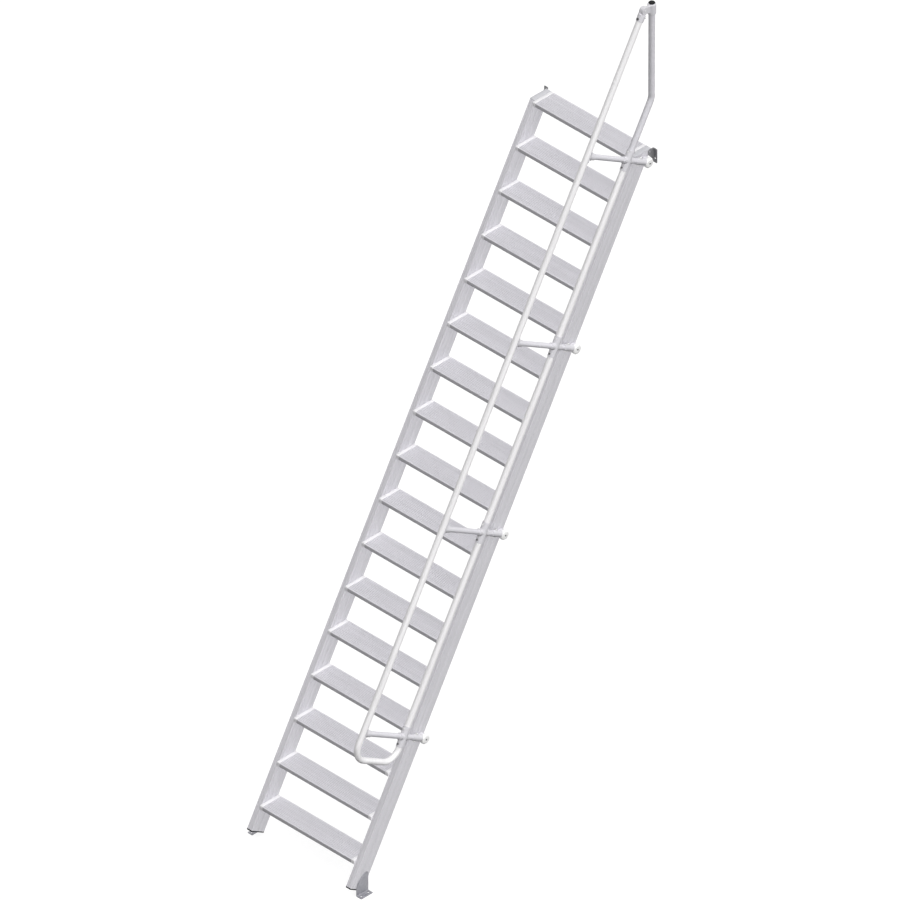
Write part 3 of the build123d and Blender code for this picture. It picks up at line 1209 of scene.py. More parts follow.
@dataclass(frozen=True)
class HexBolt:
    """A hexagon head on its washer."""

    across: float
    high: float
    washer_share: float = 0.92
    thick_share: float = 0.12
    straight_share: float = 0.82
    top_share: float = 0.9

    def fit(self, body: Body, place: Matrix) -> None:
        """Add the bolt where its washer lies, with the place's z out of the surface.

        Args:
            body: The body that it joins.
            place: Where it goes.
        """
        wide, thick = self.across * self.washer_share, self.across * self.thick_share
        body.turned([(wide, 0.0), (wide, thick * 0.7), (wide - thick * 0.3, thick)], place, 28)
        corner = self.across / math.sqrt(3.0)
        head = [(corner, 0.0), (corner, self.high * self.straight_share)]
        head.append((corner * self.top_share, self.high))
        body.turned(head, place @ Matrix.Translation((0, 0, thick)), 6)


@dataclass(frozen=True)
class SocketScrew:
    """A round head with a hexagon socket."""

    radius: float
    high: float
    edge_share: float = 0.12
    key_share: float = 0.52
    floor_share: float = 0.45

    def fit(self, body: Body, place: Matrix) -> None:
        """Add the screw where its head's foot lies, with the place's z out of the surface.

        Args:
            body: The body that it joins.
            place: Where it goes.
        """
        edge = self.radius * self.edge_share
        profile = ((self.radius, 0.0), (self.radius, self.high - edge), (self.radius - edge, self.high))
        foot, side, top = (body.ring(circle(wide, 24), place, level) for wide, level in profile)
        body.work.faces.new(foot)
        body.band(foot, side)
        body.band(side, top)
        key = circle(self.radius * self.key_share, 6)
        mouth, floor = (body.ring(key, place, self.high * share) for share in (1.0, self.floor_share))
        body.band(mouth, floor)
        body.work.faces.new(floor)
        body.fill([top, mouth])


@dataclass(frozen=True)
class Stringers:
    """The two closed side members, extruded with shallow grooves, and their end caps."""

    flight: Flight
    wall: float = 0.003
    corner: float = 0.002
    groove_wide: float = 0.0036
    groove_deep: float = 0.0016
    groove_lip: float = 0.0004
    side_pitch: float = 0.039
    side_grooves: int = 3
    edge_pitch: float = 0.020
    edge_grooves: int = 2
    foot_cap: float = 0.008
    foot_plug: float = 0.012
    plug_gap: float = 0.0003
    top_cap: float = 0.003
    cap_edge: float = 0.0012
    cap_angle: float = math.radians(60.0)

    def outline(self) -> Loop:
        """Outline of the section with its grooves and softened corners.

        Returns:
            The outline, its x across and its y outward.
        """
        half_wide = self.flight.stringer_wide / 2
        half_deep = self.flight.stringer_deep / 2
        sides = (
            (half_wide, half_deep, self.side_pitch, self.side_grooves),
            (half_deep, half_wide, self.edge_pitch, self.edge_grooves),
        ) * 2
        corners: Loop = []
        radii: list[float] = []
        for number, (face, reach, pitch, count) in enumerate(sides):
            drawn: Loop = [(face, -reach)]
            for groove in range(count):
                middle = (groove - (count - 1) / 2) * pitch
                for edge, deep in ((-1, 0), (-1, 1), (1, 1), (1, 0)):
                    drawn.append((face - deep * self.groove_deep, middle + edge * self.groove_wide / 2))
            turn = Matrix.Rotation(math.pi / 2 * number, 2)
            corners.extend(tuple(turn @ Vector(point)) for point in drawn)
            radii.extend([self.corner] + [self.groove_lip] * (4 * count))
        return rounded(corners, radii, 3)

    def hollow(self, gap: float = 0.0) -> Loop:
        """Outline of the hollow inside, or of a plug that leaves a gap to it.

        Args:
            gap: The gap all round.

        Returns:
            The outline.
        """
        less = 2 * (self.wall + gap)
        sides = rectangle(self.flight.stringer_wide - less, self.flight.stringer_deep - less)
        return rounded(sides, self.corner, 3)

    def build(self, shop: Workshop) -> None:
        """Build both stringers and their caps.

        Args:
            shop: The workshop that takes the pieces.
        """
        flight = self.flight
        head = flight.top_z - self.top_cap - flight.heel_above

        def to_head(across: float, off: float) -> float:
            """Length from the foot cap to the level head, by the place in the section.

            Args:
                across: Place across the section, which makes no difference.
                off: Place outward from its middle.

            Returns:
                The length there.
            """
            out = flight.stringer_deep / 2 + off
            run = (head - out * math.cos(flight.pitch)) / math.sin(flight.pitch)
            return run - self.foot_cap

        for side, x in zip(("right", "left"), flight.stringer_middles):
            loops = [self.outline(), self.hollow()]
            profile = Body().prism(loops, flight.section(x, self.foot_cap), to_head)
            name = f"{side}_stringer"
            shop.deliver(name, profile, Finish.STRINGER, Slot.STRINGER, f"stringer_{side}")
        self._foot_caps(shop)
        self._top_caps(shop)

    def _foot_caps(self, shop: Workshop) -> None:
        """Plastic caps pressed into the lower ends.

        Args:
            shop: The workshop that takes the pieces.
        """
        flight = self.flight
        rim = rounded(rectangle(flight.stringer_wide, flight.stringer_deep), self.corner, 4)
        caps = Body()
        for x in flight.stringer_middles:
            caps.prism([rim], flight.section(x, 0.0), self.foot_cap)
            caps.prism([self.hollow(self.plug_gap)], flight.section(x, self.foot_cap), self.foot_plug)
        caps.soften(self.cap_edge, self.cap_angle)
        shop.deliver("foot_caps", caps, Finish.PLASTIC, Slot.PLASTIC, "bottom_caps")

    def _top_caps(self, shop: Workshop) -> None:
        """Flat plates on the level heads.

        Args:
            shop: The workshop that takes the pieces.
        """
        flight = self.flight
        low = flight.top_z - self.top_cap
        long = flight.stringer_deep / math.sin(flight.pitch)
        y = (flight.front_y(low) + flight.back_y(low)) / 2
        plate = rounded(rectangle(flight.stringer_wide, long), self.corner, 4)
        caps = Body()
        for x in flight.stringer_middles:
            caps.prism([plate], placing(Vector((x, y, low)), X_AXIS, Z_AXIS), self.top_cap)
        caps.soften(self.cap_edge / 2, self.cap_angle)
        shop.deliver("head_plates", caps, Finish.END_PLATE, Slot.STRINGER, "top_caps")


@dataclass(frozen=True)
class Treads:
    """The ribbed treads: a deck with a boxed nose and heel, open underneath."""

    flight: Flight
    deep: float = 0.160
    high: float = 0.030
    wall: float = 0.003
    nose_box: float = 0.028
    heel_box: float = 0.022
    web_high: float = 0.016
    web_foot: float = 0.014
    rib_count: int = 12
    rib_pitch: float = 0.012
    rib_wide: float = 0.005
    rib_high: float = 0.0015
    rib_round: float = 0.0004
    tooth_deep: float = 0.0005
    tooth_round: float = 0.0002
    bracket_wide: float = 0.024
    nose_round: float = 0.006
    nose_foot_round: float = 0.004
    heel_round: float = 0.0005
    inner_round: float = 0.0012

    def _ribs(self) -> tuple[Loop, list[float]]:
        """Points and corner radii of the toothed ribs, from the heel to the nose.

        Returns:
            The points, and a radius for each.
        """
        points: Loop = []
        radii: list[float] = []
        tooth = self.rib_wide / 6
        for rib in reversed(range(self.rib_count)):
            middle = self.deep / 2 + (rib - (self.rib_count - 1) / 2) * self.rib_pitch
            points.append((middle + self.rib_wide / 2, -self.rib_high))
            points.append((middle + self.rib_wide / 2 - tooth / 3, 0.0))
            for valley in (1, -1):
                points.append((middle + valley * tooth * 1.4, 0.0))
                points.append((middle + valley * tooth, -self.tooth_deep))
                points.append((middle + valley * tooth * 0.6, 0.0))
            points.append((middle - self.rib_wide / 2 + tooth / 3, 0.0))
            points.append((middle - self.rib_wide / 2, -self.rib_high))
            ends = [self.rib_round, self.tooth_round]
            radii.extend([*ends, *[0.0] * 6, *ends[::-1]])
        return points, radii

    def section(self) -> list[Loop]:
        """Outline of a tread and of its two hollow boxes, its x back from the nosing.

        Returns:
            The outline and the two boxes.
        """
        deck = -self.rib_high
        under = deck - self.wall
        foot = deck - self.web_high
        middle, half, spread = self.deep / 2, self.wall / 2, self.web_foot / 2
        below: Loop = [
            (0.0, deck),
            (0.0, -self.high),
            (self.nose_box, -self.high),
            (self.nose_box, under),
            (middle - half, under),
            (middle - half, foot + self.wall),
            (middle - spread, foot + self.wall),
            (middle - spread, foot),
            (middle + spread, foot),
            (middle + spread, foot + self.wall),
            (middle + half, foot + self.wall),
            (middle + half, under),
            (self.deep - self.heel_box, under),
            (self.deep - self.heel_box, -self.high),
            (self.deep, -self.high),
            (self.deep, deck),
        ]
        radii = [self.nose_round, self.nose_foot_round, *[self.inner_round] * 12]
        ribs, rib_radii = self._ribs()
        outer = rounded(below + ribs, radii + [self.heel_round] * 2 + rib_radii, 3)
        box_high = self.high - self.rib_high - 2 * self.wall
        floor = -self.high + self.wall
        nose = rectangle(self.nose_box - 2 * self.wall, box_high, (self.wall, floor))
        heel_low = self.deep - self.heel_box + self.wall
        heel = rectangle(self.heel_box - 2 * self.wall, box_high, (heel_low, floor))
        inner = [self.inner_round] * 3 + [self.nose_round - self.wall]
        return [outer, rounded(nose, inner, 3), rounded(heel, self.inner_round, 2)]

    def build(self, shop: Workshop) -> None:
        """Build every tread.

        Args:
            shop: The workshop that takes the pieces.
        """
        flight = self.flight
        long = flight.clear_width - 2 * self.bracket_wide
        left = flight.middle_x - long / 2
        loops = self.section()
        for number in range(1, flight.tread_count + 1):
            corner = Vector((left, flight.nosing_y(number), flight.tread_top(number)))
            tread = Body().prism(loops, placing(corner, Y_AXIS, X_AXIS), long)
            node = f"tread_{number:02d}"
            shop.deliver(f"ribbed_{node}", tread, Finish.TREAD, Slot.TREAD, node)


@dataclass(frozen=True)
class TreadBrackets:
    """Castings between each tread's end and the stringer, with a skirt for their bolts."""

    flight: Flight
    deep: float = 0.160
    high: float = 0.030
    wide: float = 0.024
    wall: float = 0.004
    drop: float = 0.060
    toe: float = 0.040
    heel: float = 0.030
    nose_round: float = 0.007
    skirt_round: float = 0.006
    edge: float = 0.0011
    edge_angle: float = math.radians(50.0)
    bolt: HexBolt = HexBolt(0.013, 0.0053)
    bolt_in: float = 0.058
    bolt_pitch: float = 0.042
    bolt_down: float = 0.046

    def _drawn(self, name: str, loop: Loop, x: float, long: float) -> bpy.types.Mesh:
        """An outline, seen from the side, drawn out across the stair from x."""
        return Body().prism([loop], placing(X_AXIS * x, Y_AXIS, X_AXIS), long).mesh(name)

    def _one(self) -> Body:
        """One right-hand bracket, from its nose back, with x 0 on its tread's side.

        Returns:
            The bracket's body.
        """
        foot, wall = -self.high, self.wall
        block = rounded(
            [(0.0, 0.0), (0.0, foot), (self.deep, foot), (self.deep, 0.0)],
            [self.nose_round, self.nose_round / 2, 0.001, 0.002],
            5,
        )
        skirt = rounded(
            [
                (self.nose_round, foot + wall),
                (self.nose_round, foot),
                (self.toe, -self.drop),
                (self.deep - self.heel, -self.drop),
                (self.deep, foot),
                (self.deep, foot + wall),
            ],
            [0.0, 0.0, self.skirt_round, self.skirt_round, 0.0, 0.0],
            5,
        )
        pocket = rectangle(self.deep - 2 * wall, self.high, (wall, foot - wall))
        solid = self._drawn("block", block, 0.0, self.wide)
        solid = combined(solid, self._drawn("skirt", skirt, self.wide - wall, wall), Cut.JOIN)
        tool = self._drawn("pocket", pocket, wall, self.wide - 2 * wall)
        solid = combined(solid, tool, Cut.TAKE_OUT)
        return Body().add(solid, Matrix.Identity(4)).soften(self.edge, self.edge_angle)

    def build(self, shop: Workshop) -> None:
        """Build the brackets of both sides and their bolts.

        Args:
            shop: The workshop that takes the pieces.
        """
        flight = self.flight
        one = self._one().mesh("bracket")
        for side, way in flight.sides:
            row, bolts = Body(), Body()
            for number in range(1, flight.tread_count + 1):
                y, z = flight.nosing_y(number), flight.tread_top(number)
                row.add(one, way @ Matrix.Translation((flight.inner_x - self.wide, y, z)))
                for back in (self.bolt_in, self.bolt_in + self.bolt_pitch):
                    seat = Vector((flight.inner_x - self.wall, y + back, z - self.bolt_down))
                    self.bolt.fit(bolts, way @ placing(seat, Y_AXIS, -X_AXIS))
            name = f"{side}_tread_castings"
            shop.deliver(name, row, Finish.BRACKET, Slot.CAST, f"tread_brackets_{side}")
            shop.deliver(f"{side}_bracket_bolts", bolts, Finish.BOLT, Slot.GALVANISED)


@dataclass(frozen=True)
class Fold:
    """The square fold of a steel plate that is cut flat and bent once.

    The flat drawing's x runs across the fold: below zero on the first leg, and past the bend
    on the second. Its y runs along the fold.
    """

    thick: float
    inner_radius: float = 0.003
    steps: int = 8
    edge: float = 0.0005
    edge_angle: float = math.radians(50.0)

    @property
    def outer(self) -> float:
        """Radius of the fold's outside."""
        return self.inner_radius + self.thick

    @property
    def bend(self) -> float:
        """Length of the bend in the flat drawing."""
        return math.pi / 2 * self.outer

    def out(self, reach: float) -> float:
        """Place in the flat drawing of what reaches this far out along the second leg."""
        return self.bend + reach - self.outer

    def up(self, height: float) -> float:
        """Place in the flat drawing of what stands this high on the first leg."""
        return self.outer - height

    def _folded(self, flat: Vector) -> Vector:
        """Where a point of the flat plate comes to lie: across, along and up the first leg.

        Args:
            flat: The point in the flat drawing.

        Returns:
            The point in the folded plate.
        """
        if flat.x <= 0.0:
            return Vector((flat.z, flat.y, self.outer - flat.x))
        if flat.x >= self.bend:
            return Vector((self.outer + flat.x - self.bend, flat.y, flat.z))
        turn = flat.x / self.bend * math.pi / 2
        spoke = self.outer - flat.z
        return Vector((self.outer - spoke * math.cos(turn), flat.y, self.outer - spoke * math.sin(turn)))

    def plate(self, outline: Loop, holes: Sequence[tuple[float, float, float]]) -> Body:
        """Cut and fold a plate.

        Args:
            outline: Outline of the flat plate.
            holes: Place and radius of each hole in it.

        Returns:
            The plate, its fold's outer corner at zero.
        """
        loops = [outline] + [circle(radius, 28, (x, y)) for x, y, radius in holes]
        plate = Body().prism(loops, Matrix.Identity(4), self.thick)
        plate.cut_across([self.bend * step / self.steps for step in range(self.steps + 1)])
        return plate.bend(self._folded).soften(self.edge, self.edge_angle)


@dataclass(frozen=True)
class Brackets:
    """Steel angles that hold the stair to the floor and to the wall."""

    flight: Flight
    fold: Fold = Fold(0.005)
    foot_long: float = 0.098
    foot_high: float = 0.143
    foot_nose: float = 0.056
    foot_shoulder: float = 0.096
    foot_shoulder_in: float = 0.015
    foot_top_long: float = 0.028
    foot_out: float = 0.044
    foot_round: float = 0.012
    shoulder_round: float = 0.006
    nose_round: float = 0.004
    anchor_spacing: float = 0.060
    anchor_hole: float = 0.013
    wall_gap: float = 0.018
    wall_long: float = 0.046
    wall_high: float = 0.080
    wall_tail: float = 0.034
    flange_high: float = 0.100
    flange_out: float = 0.035
    wall_round: float = 0.010
    wall_corner: float = 0.002
    wall_hole: float = 0.012
    wall_hole_out: float = 0.020
    wall_hole_up: float = 0.031
    wall_drop: float = 0.003
    flange_corner: float = 0.004
    screw: SocketScrew = SocketScrew(0.008, 0.0012)
    foot_screws: tuple[tuple[float, float], ...] = ((-0.022, 0.064), (0.014, 0.116))
    wall_screw_out: float = 0.034
    wall_screw_down: float = 0.018

    def _foot(self) -> Body:
        """One foot, drawn with its fold along y and its first leg upright.

        Returns:
            The folded plate.
        """
        fold = self.fold
        half = self.foot_long / 2
        outline = rounded(
            [
                (fold.out(self.foot_out), -half),
                (fold.out(self.foot_out), half),
                (fold.up(self.foot_high), half),
                (fold.up(self.foot_high), half - self.foot_top_long),
                (fold.up(self.foot_shoulder), self.foot_shoulder_in - half),
                (fold.up(self.foot_nose), -half),
            ],
            [
                *[self.flange_corner] * 2,
                *[self.foot_round] * 2,
                self.shoulder_round,
                self.nose_round,
            ],
        )
        anchor = fold.out(self.flight.anchor_out)
        return fold.plate(
            outline,
            [(anchor, way * self.anchor_spacing / 2, self.anchor_hole / 2) for way in (1, -1)],
        )

    def _wall_angle(self) -> Body:
        """One wall angle, drawn with its fold along y and its first leg away from the wall.

        Returns:
            The folded plate.
        """
        fold = self.fold
        lip = fold.out(self.flange_out)
        outline = rounded(
            [
                (lip, -self.flange_high),
                (lip, 0.0),
                (fold.up(self.wall_long), 0.0),
                (fold.up(self.wall_long), -self.wall_tail),
                (0.0, -self.wall_high),
                (0.0, -self.flange_high),
            ],
            [*[self.flange_corner] * 2, *[self.wall_round] * 2, *[self.wall_corner] * 2],
        )
        hole = (fold.out(self.wall_hole_out), self.wall_hole_up - self.flange_high, self.wall_hole / 2)
        return fold.plate(outline, [hole])

    def build(self, shop: Workshop) -> None:
        """Build the feet, the wall angles and their countersunk screws.

        Args:
            shop: The workshop that takes the pieces.
        """
        flight = self.flight
        x, top = flight.outer_x, flight.top_z
        wall_y = flight.back_y(top) + self.wall_gap
        foot_place = Matrix.Translation((x, 0.0, 0.0))
        wall_place = Matrix.Translation((x, wall_y, top - self.wall_drop))
        wall_place = wall_place @ Matrix.Rotation(math.pi / 2, 4, "X")
        foot, angle = self._foot().mesh("foot"), self._wall_angle().mesh("angle")
        screws = [Vector((x + self.fold.thick, y, z)) for y, z in self.foot_screws]
        screws.append(
            Vector((x + self.fold.thick, wall_y - self.wall_screw_out, top - self.wall_screw_down))
        )
        heads = Body()
        for side, way in flight.sides:
            body = Body().add(foot, way @ foot_place)
            name = f"{side}_foot_angle"
            shop.deliver(name, body, Finish.GALVANISED, Slot.GALVANISED, f"foot_bracket_{side}")
            body = Body().add(angle, way @ wall_place)
            name = f"{side}_wall_angle"
            shop.deliver(name, body, Finish.WALL_PLATE, Slot.DARK_STEEL, f"wall_bracket_{side}")
            for screw in screws:
                self.screw.fit(heads, way @ placing(screw, Y_AXIS, X_AXIS))
        shop.deliver("bracket_screws", heads, Finish.GALVANISED, Slot.GALVANISED)


@dataclass(frozen=True)
class RailLines:
    """Where the rail's tubes and fittings lie, in runs up the slope and distances out."""

    flight: Flight
    rail_offset: float = 0.024
    knee_out: float = 0.093
    hand_out: float = 0.486
    tube: float = 0.040
    tube_wall: float = 0.002
    bend_radius: float = 0.100
    bend_below_post: float = 0.173
    kink_above_post: float = 0.407
    post_tube: float = 0.034
    post_wall: float = 0.003
    post_count: int = 4
    head_to_post: float = 0.084
    post_spacing: float = 1.217
    low_post_spacing: float = 1.340
    fit_gap: float = 0.0002
    fit_wall: float = 0.004
    stop_gap: float = 0.002
    clamp_reach: float = 0.069
    socket_to_eye: float = 0.030
    upright_past_eye: float = 0.021
    foot_post_end: float = 0.066

    @property
    def x(self) -> float:
        """The rail's place across the stair."""
        return self.flight.outer_x + self.rail_offset

    @property
    def knee_line(self) -> float:
        """How far out the knee rail runs."""
        return self.flight.stringer_deep + self.knee_out

    @property
    def hand_line(self) -> float:
        """How far out the handrail runs."""
        return self.flight.stringer_deep + self.hand_out

    @property
    def post_runs(self) -> list[float]:
        """Runs of the posts, from the lowest up.

        Returns:
            One run for each post.
        """
        head = (self.flight.top_z - self.flight.heel_above) / math.sin(self.flight.pitch)
        top = head - self.head_to_post
        runs = [top - self.post_spacing * number for number in range(self.post_count - 1)]
        runs.append(runs[-1] - self.low_post_spacing)
        return runs[::-1]

    @property
    def kink(self) -> Vector:
        """Where the upright turns to stand vertical."""
        return self.flight.at(self.x, self.post_runs[-1] + self.kink_above_post, self.knee_line)

    @property
    def eye_run(self) -> float:
        """Run of the pivot between the handrail and the clamp on the upright.

        Returns:
            The run.
        """
        flight = self.flight
        y = self.kink.y - self.clamp_reach - flight.heel_behind
        return (y + self.hand_line * math.sin(flight.pitch)) / math.cos(flight.pitch)

    @property
    def eye(self) -> Vector:
        """Place of that pivot."""
        return self.flight.at(self.x, self.eye_run, self.hand_line)

    @property
    def upright_top(self) -> float:
        """Height of the upright's open end."""
        return self.eye.z + self.upright_past_eye

    @property
    def hand_top_run(self) -> float:
        """Run of the handrail's upper end."""
        return self.eye_run - self.socket_to_eye

    @property
    def rail_bore(self) -> float:
        """Radius of a bore that takes a rail."""
        return self.tube / 2 + self.fit_gap

    @property
    def sleeve(self) -> float:
        """Outer radius of a fitting round a rail."""
        return self.rail_bore + self.fit_wall

    @property
    def post_bore(self) -> float:
        """Radius of a bore that takes a post."""
        return self.post_tube / 2 + self.fit_gap

    @property
    def branch(self) -> float:
        """Outer radius of a fitting round a post."""
        return self.post_bore + self.fit_wall

    @property
    def post_stop(self) -> float:
        """Distance from a rail's line to the end of a post."""
        return self.sleeve + self.stop_gap


@dataclass(frozen=True)
class RailTubes:
    """The handrail with its bent foot, the knee rail, the upright and the posts."""

    lines: RailLines
    bend_steps: int = 18
    cap_high: float = 0.008
    cap_plug: float = 0.020
    plug_edge: float = 0.001
    cap_edge: float = 0.0006
    cap_side: float = 0.35
    cap_rise: float = 0.6
    cap_round: float = 0.006
    cap_crown_in: float = 0.010
    cap_crown: float = 0.975

    def _bent(self, corners: Loop) -> Loop:
        """A route with its corners bent."""
        return rounded(corners, self.lines.bend_radius, self.bend_steps, closed=False)

    def build(self, shop: Workshop) -> None:
        """Build the tubes and the cap on the upright.

        Args:
            shop: The workshop that takes the pieces.
        """
        lines = self.lines
        flight, knee, hand = lines.flight, lines.knee_line, lines.hand_line
        outer, inner = lines.tube / 2, lines.tube / 2 - lines.tube_wall
        low, top = lines.post_runs[0], lines.post_runs[-1]
        bend = low - lines.bend_below_post
        flat = self._bent([(lines.hand_top_run, hand), (bend, hand), (bend, knee), (low, knee)])
        handrail = Body().tube([flight.at(lines.x, run, out) for run, out in flat], outer, inner)
        shop.deliver("bent_handrail", handrail, Finish.RAIL, Slot.RAIL, "handrail")

        ends = (low + lines.stop_gap, top - lines.stop_gap)
        knee_rail = Body().tube([flight.at(lines.x, run, knee) for run in ends], outer, inner)
        shop.deliver("knee_tube", knee_rail, Finish.RAIL, Slot.RAIL, "knee_rail")

        foot, kink = flight.at(lines.x, top + lines.stop_gap, knee), lines.kink
        flat = self._bent([(foot.y, foot.z), (kink.y, kink.z), (kink.y, lines.upright_top)])
        upright = Body().tube([Vector((lines.x, y, z)) for y, z in flat], outer, inner)
        shop.deliver("bent_upright", upright, Finish.POST, Slot.POST, "top_upright")
        self._cap(shop)
        self._posts(shop)

    def _cap(self, shop: Workshop) -> None:
        """The plastic cap in the upright's open end.

        Args:
            shop: The workshop that takes the pieces.
        """
        lines = self.lines
        outer, high = lines.tube / 2, self.cap_high
        plug = outer - lines.tube_wall - lines.fit_gap
        profile = [(plug - self.plug_edge, -self.cap_plug), (plug, -self.cap_plug + self.plug_edge)]
        profile += [(plug, 0.0), (outer - self.cap_edge, 0.0), (outer, self.cap_edge)]
        profile.append((outer, high * self.cap_side))
        for step in range(1, 9):
            turn = math.pi / 2 * step / 9
            wide = outer - self.cap_round + self.cap_round * math.cos(turn)
            profile.append((wide, high * (self.cap_side + self.cap_rise * math.sin(turn))))
        profile += [(outer - self.cap_crown_in, high * self.cap_crown), (outer * 0.2, high)]
        place = placing(Vector((lines.x, lines.kink.y, lines.upright_top)), X_AXIS, Z_AXIS)
        cap = Body().turned(profile, place, 48)
        shop.deliver("upright_end_cap", cap, Finish.PLASTIC, Slot.PLASTIC, "top_upright_cap")

    def _posts(self, shop: Workshop) -> None:
        """The posts, each a lower and an upper length of tube.

        Args:
            shop: The workshop that takes the pieces.
        """
        lines = self.lines
        outer, inner = lines.post_tube / 2, lines.post_tube / 2 - lines.post_wall
        spans = (
            (lines.foot_post_end, lines.knee_line - lines.post_stop),
            (lines.knee_line + lines.post_stop, lines.hand_line - lines.post_stop),
        )
        for number, run in enumerate(lines.post_runs, start=1):
            post = Body()
            for span in spans:
                post.tube([lines.flight.at(lines.x, run, out) for out in span], outer, inner)
            shop.deliver(f"post_tubes_{number}", post, Finish.POST, Slot.POST, f"rail_post_{number}")


@dataclass(frozen=True)
class Fittings:
    """Cast fittings of the rail: crosses, saddles, post feet and the top connector."""

    lines: RailLines
    sleeve_long: float = 0.136
    branch_long: float = 0.046
    saddle_long: float = 0.070
    saddle_socket: float = 0.040
    saddle_front: float = 0.050
    foot_eye: float = 0.060
    foot_eye_high: float = 0.046
    foot_eye_in: float = 0.018
    foot_reach: float = 0.112
    clamp_high: float = 0.078
    clamp_wall: float = 0.006
    knuckle: float = 0.050
    knuckle_half: float = 0.015
    socket_long: float = 0.042
    socket_neck: float = 0.034
    rim: float = 0.0018
    dome: float = 0.008
    dome_round: float = 0.010
    dome_lip: float = 0.0017
    screw_seat: float = 0.0085
    screw_sunk: float = 0.003
    ring_dome: float = 0.008
    fillet: float = 0.0035
    bite: float = 0.0005
    sleeve_screw: SocketScrew = SocketScrew(0.006, 0.0045)
    sleeve_screw_off: float = 0.050
    branch_screw: SocketScrew = SocketScrew(0.005, 0.0035)
    branch_screw_off: float = 0.036
    saddle_screw_off: float = 0.022
    dome_screw: SocketScrew = SocketScrew(0.005, 0.0036)
    foot_bolt: HexBolt = HexBolt(0.013, 0.0065)
    foot_bolt_out: float = 0.080
    pivot_screw: SocketScrew = SocketScrew(0.006, 0.003)
    socket_bolt: HexBolt = HexBolt(0.010, 0.006)
    socket_bolt_top: float = 0.0585
    socket_bolt_side: float = 0.0405
    side_bolt_lean: tuple[float, float] = (0.53, 0.85)

    def _row(self, mesh: bpy.types.Mesh, out: float) -> Body:
        """Copy one fitting to every post, at a distance out.

        Args:
            mesh: The fitting.
            out: Its distance from the stringer's back face.

        Returns:
            All its copies.
        """
        row = Body()
        for run in self.lines.post_runs:
            row.add(mesh, self.lines.flight.lay(self.lines.x, run, out))
        return row

    def _no_wider(self) -> Slab:
        """The room of a fitting, no wider across the stair than its sleeve."""
        return Slab((self.lines.sleeve, self.sleeve_long, self.sleeve_long))

    def _cross(self) -> Casting:
        """A sleeve round the knee rail with a socket to each side.

        Returns:
            The casting, its y uphill and its z outward.
        """
        lines = self.lines
        seat = (self.branch_long - lines.sleeve) / 2 + self.rim
        holes = [Drum(lines.rail_bore, self.sleeve_long, (0, 1, 0))]
        for way in (1, -1):
            centre = (0.0, 0.0, way * (lines.sleeve + seat))
            holes.append(Drum(lines.post_bore, seat, (0, 0, 1), centre))
        return Casting(
            (
                Drum(lines.sleeve, self.sleeve_long / 2, (0, 1, 0), rim=self.rim),
                Drum(lines.branch, self.branch_long, (0, 0, 1), rim=self.rim),
            ),
            tuple(holes),
            self._no_wider(),
            blend=self.fillet,
        )

    def _saddle(self) -> Casting:
        """A half shell behind the handrail with a socket for the post.

        Returns:
            The casting, its y uphill and its z outward.
        """
        lines = self.lines
        long = lines.sleeve + self.saddle_socket
        seat = self.saddle_socket
        front = self.saddle_front
        return Casting(
            (
                Drum(lines.sleeve, self.saddle_long / 2, (0, 1, 0), rim=self.rim),
                Drum(lines.branch, long / 2, (0, 0, 1), (0, 0, -long / 2), self.rim),
            ),
            (
                Drum(lines.rail_bore, self.saddle_long, (0, 1, 0)),
                Drum(lines.post_bore, seat, (0, 0, 1), (0, 0, -lines.sleeve - seat)),
                Slab((front, front, front), (0, 0, front)),
            ),
            self._no_wider(),
            blend=self.fillet,
        )

    def _foot(self) -> Casting:
        """A domed boss on the stringer with a socket for the post, seen from the post's line.

        Returns:
            The casting, its y uphill and its z outward.
        """
        lines = self.lines
        high = self.foot_eye_high - self.dome_round
        hub = self.foot_eye / 2 - self.rim
        reach = self.foot_reach / 2
        room = self.foot_reach * 1.5
        seat = lines.foot_post_end - lines.stop_gap - self.foot_eye_in + reach
        return Casting(
            (
                Drum(hub, high, (1, 0, 0), (-lines.rail_offset, 0, 0), self.dome),
                Drum(lines.branch, reach, (0, 0, 1), (0, 0, reach), self.rim),
            ),
            (Drum(lines.post_bore, reach, (0, 0, 1), (0, 0, seat)),),
            Slab((room, room, room), (room - lines.rail_offset, 0, 0)),
            blend=self.fillet,
        )

    @property
    def _dome_face(self) -> float:
        """How far the bright dome stands out from the stringer."""
        return self.foot_eye_high + 2 * self.dome_lip

    def _foot_dome(self) -> bpy.types.Mesh:
        """The domed cover of a post's foot, with a seat for its screw, in a lighter finish that paints a
        highlight.

        Returns:
            The cover's mesh.
        """
        radius = self.foot_eye / 2 + self.dome_lip
        high, bend = self._dome_face, self.dome_round
        low = high / 2
        profile = [(radius - self.rim, low), (radius, low + self.rim)]
        for step in range(9):
            turn = math.pi / 2 * step / 8
            out = radius - bend + bend * math.cos(turn)
            profile.append((out, high - self.rim / 2 - bend + bend * math.sin(turn)))
        profile += [(self.screw_seat, high), (self.screw_seat, high - self.screw_sunk)]
        place = placing(X_AXIS * -self.lines.rail_offset, Y_AXIS, X_AXIS)
        return Body().turned(profile, place, 48).mesh("dome")

    def _eye(self, side: float) -> tuple[Drum, Drum]:
        """Half of the knuckle, and the room that it leaves for the other half.

        Args:
            side: 1 for the right half and -1 for the left one.

        Returns:
            The half and the room.
        """
        half = self.knuckle_half / 2
        disc = Drum(self.knuckle / 2, half, (1, 0, 0), (side * half, 0, 0), self.rim)
        room = self.knuckle / 2 + self.lines.stop_gap
        return disc, Drum(room, 2 * half, (1, 0, 0), (-side * 2 * half, 0, 0))

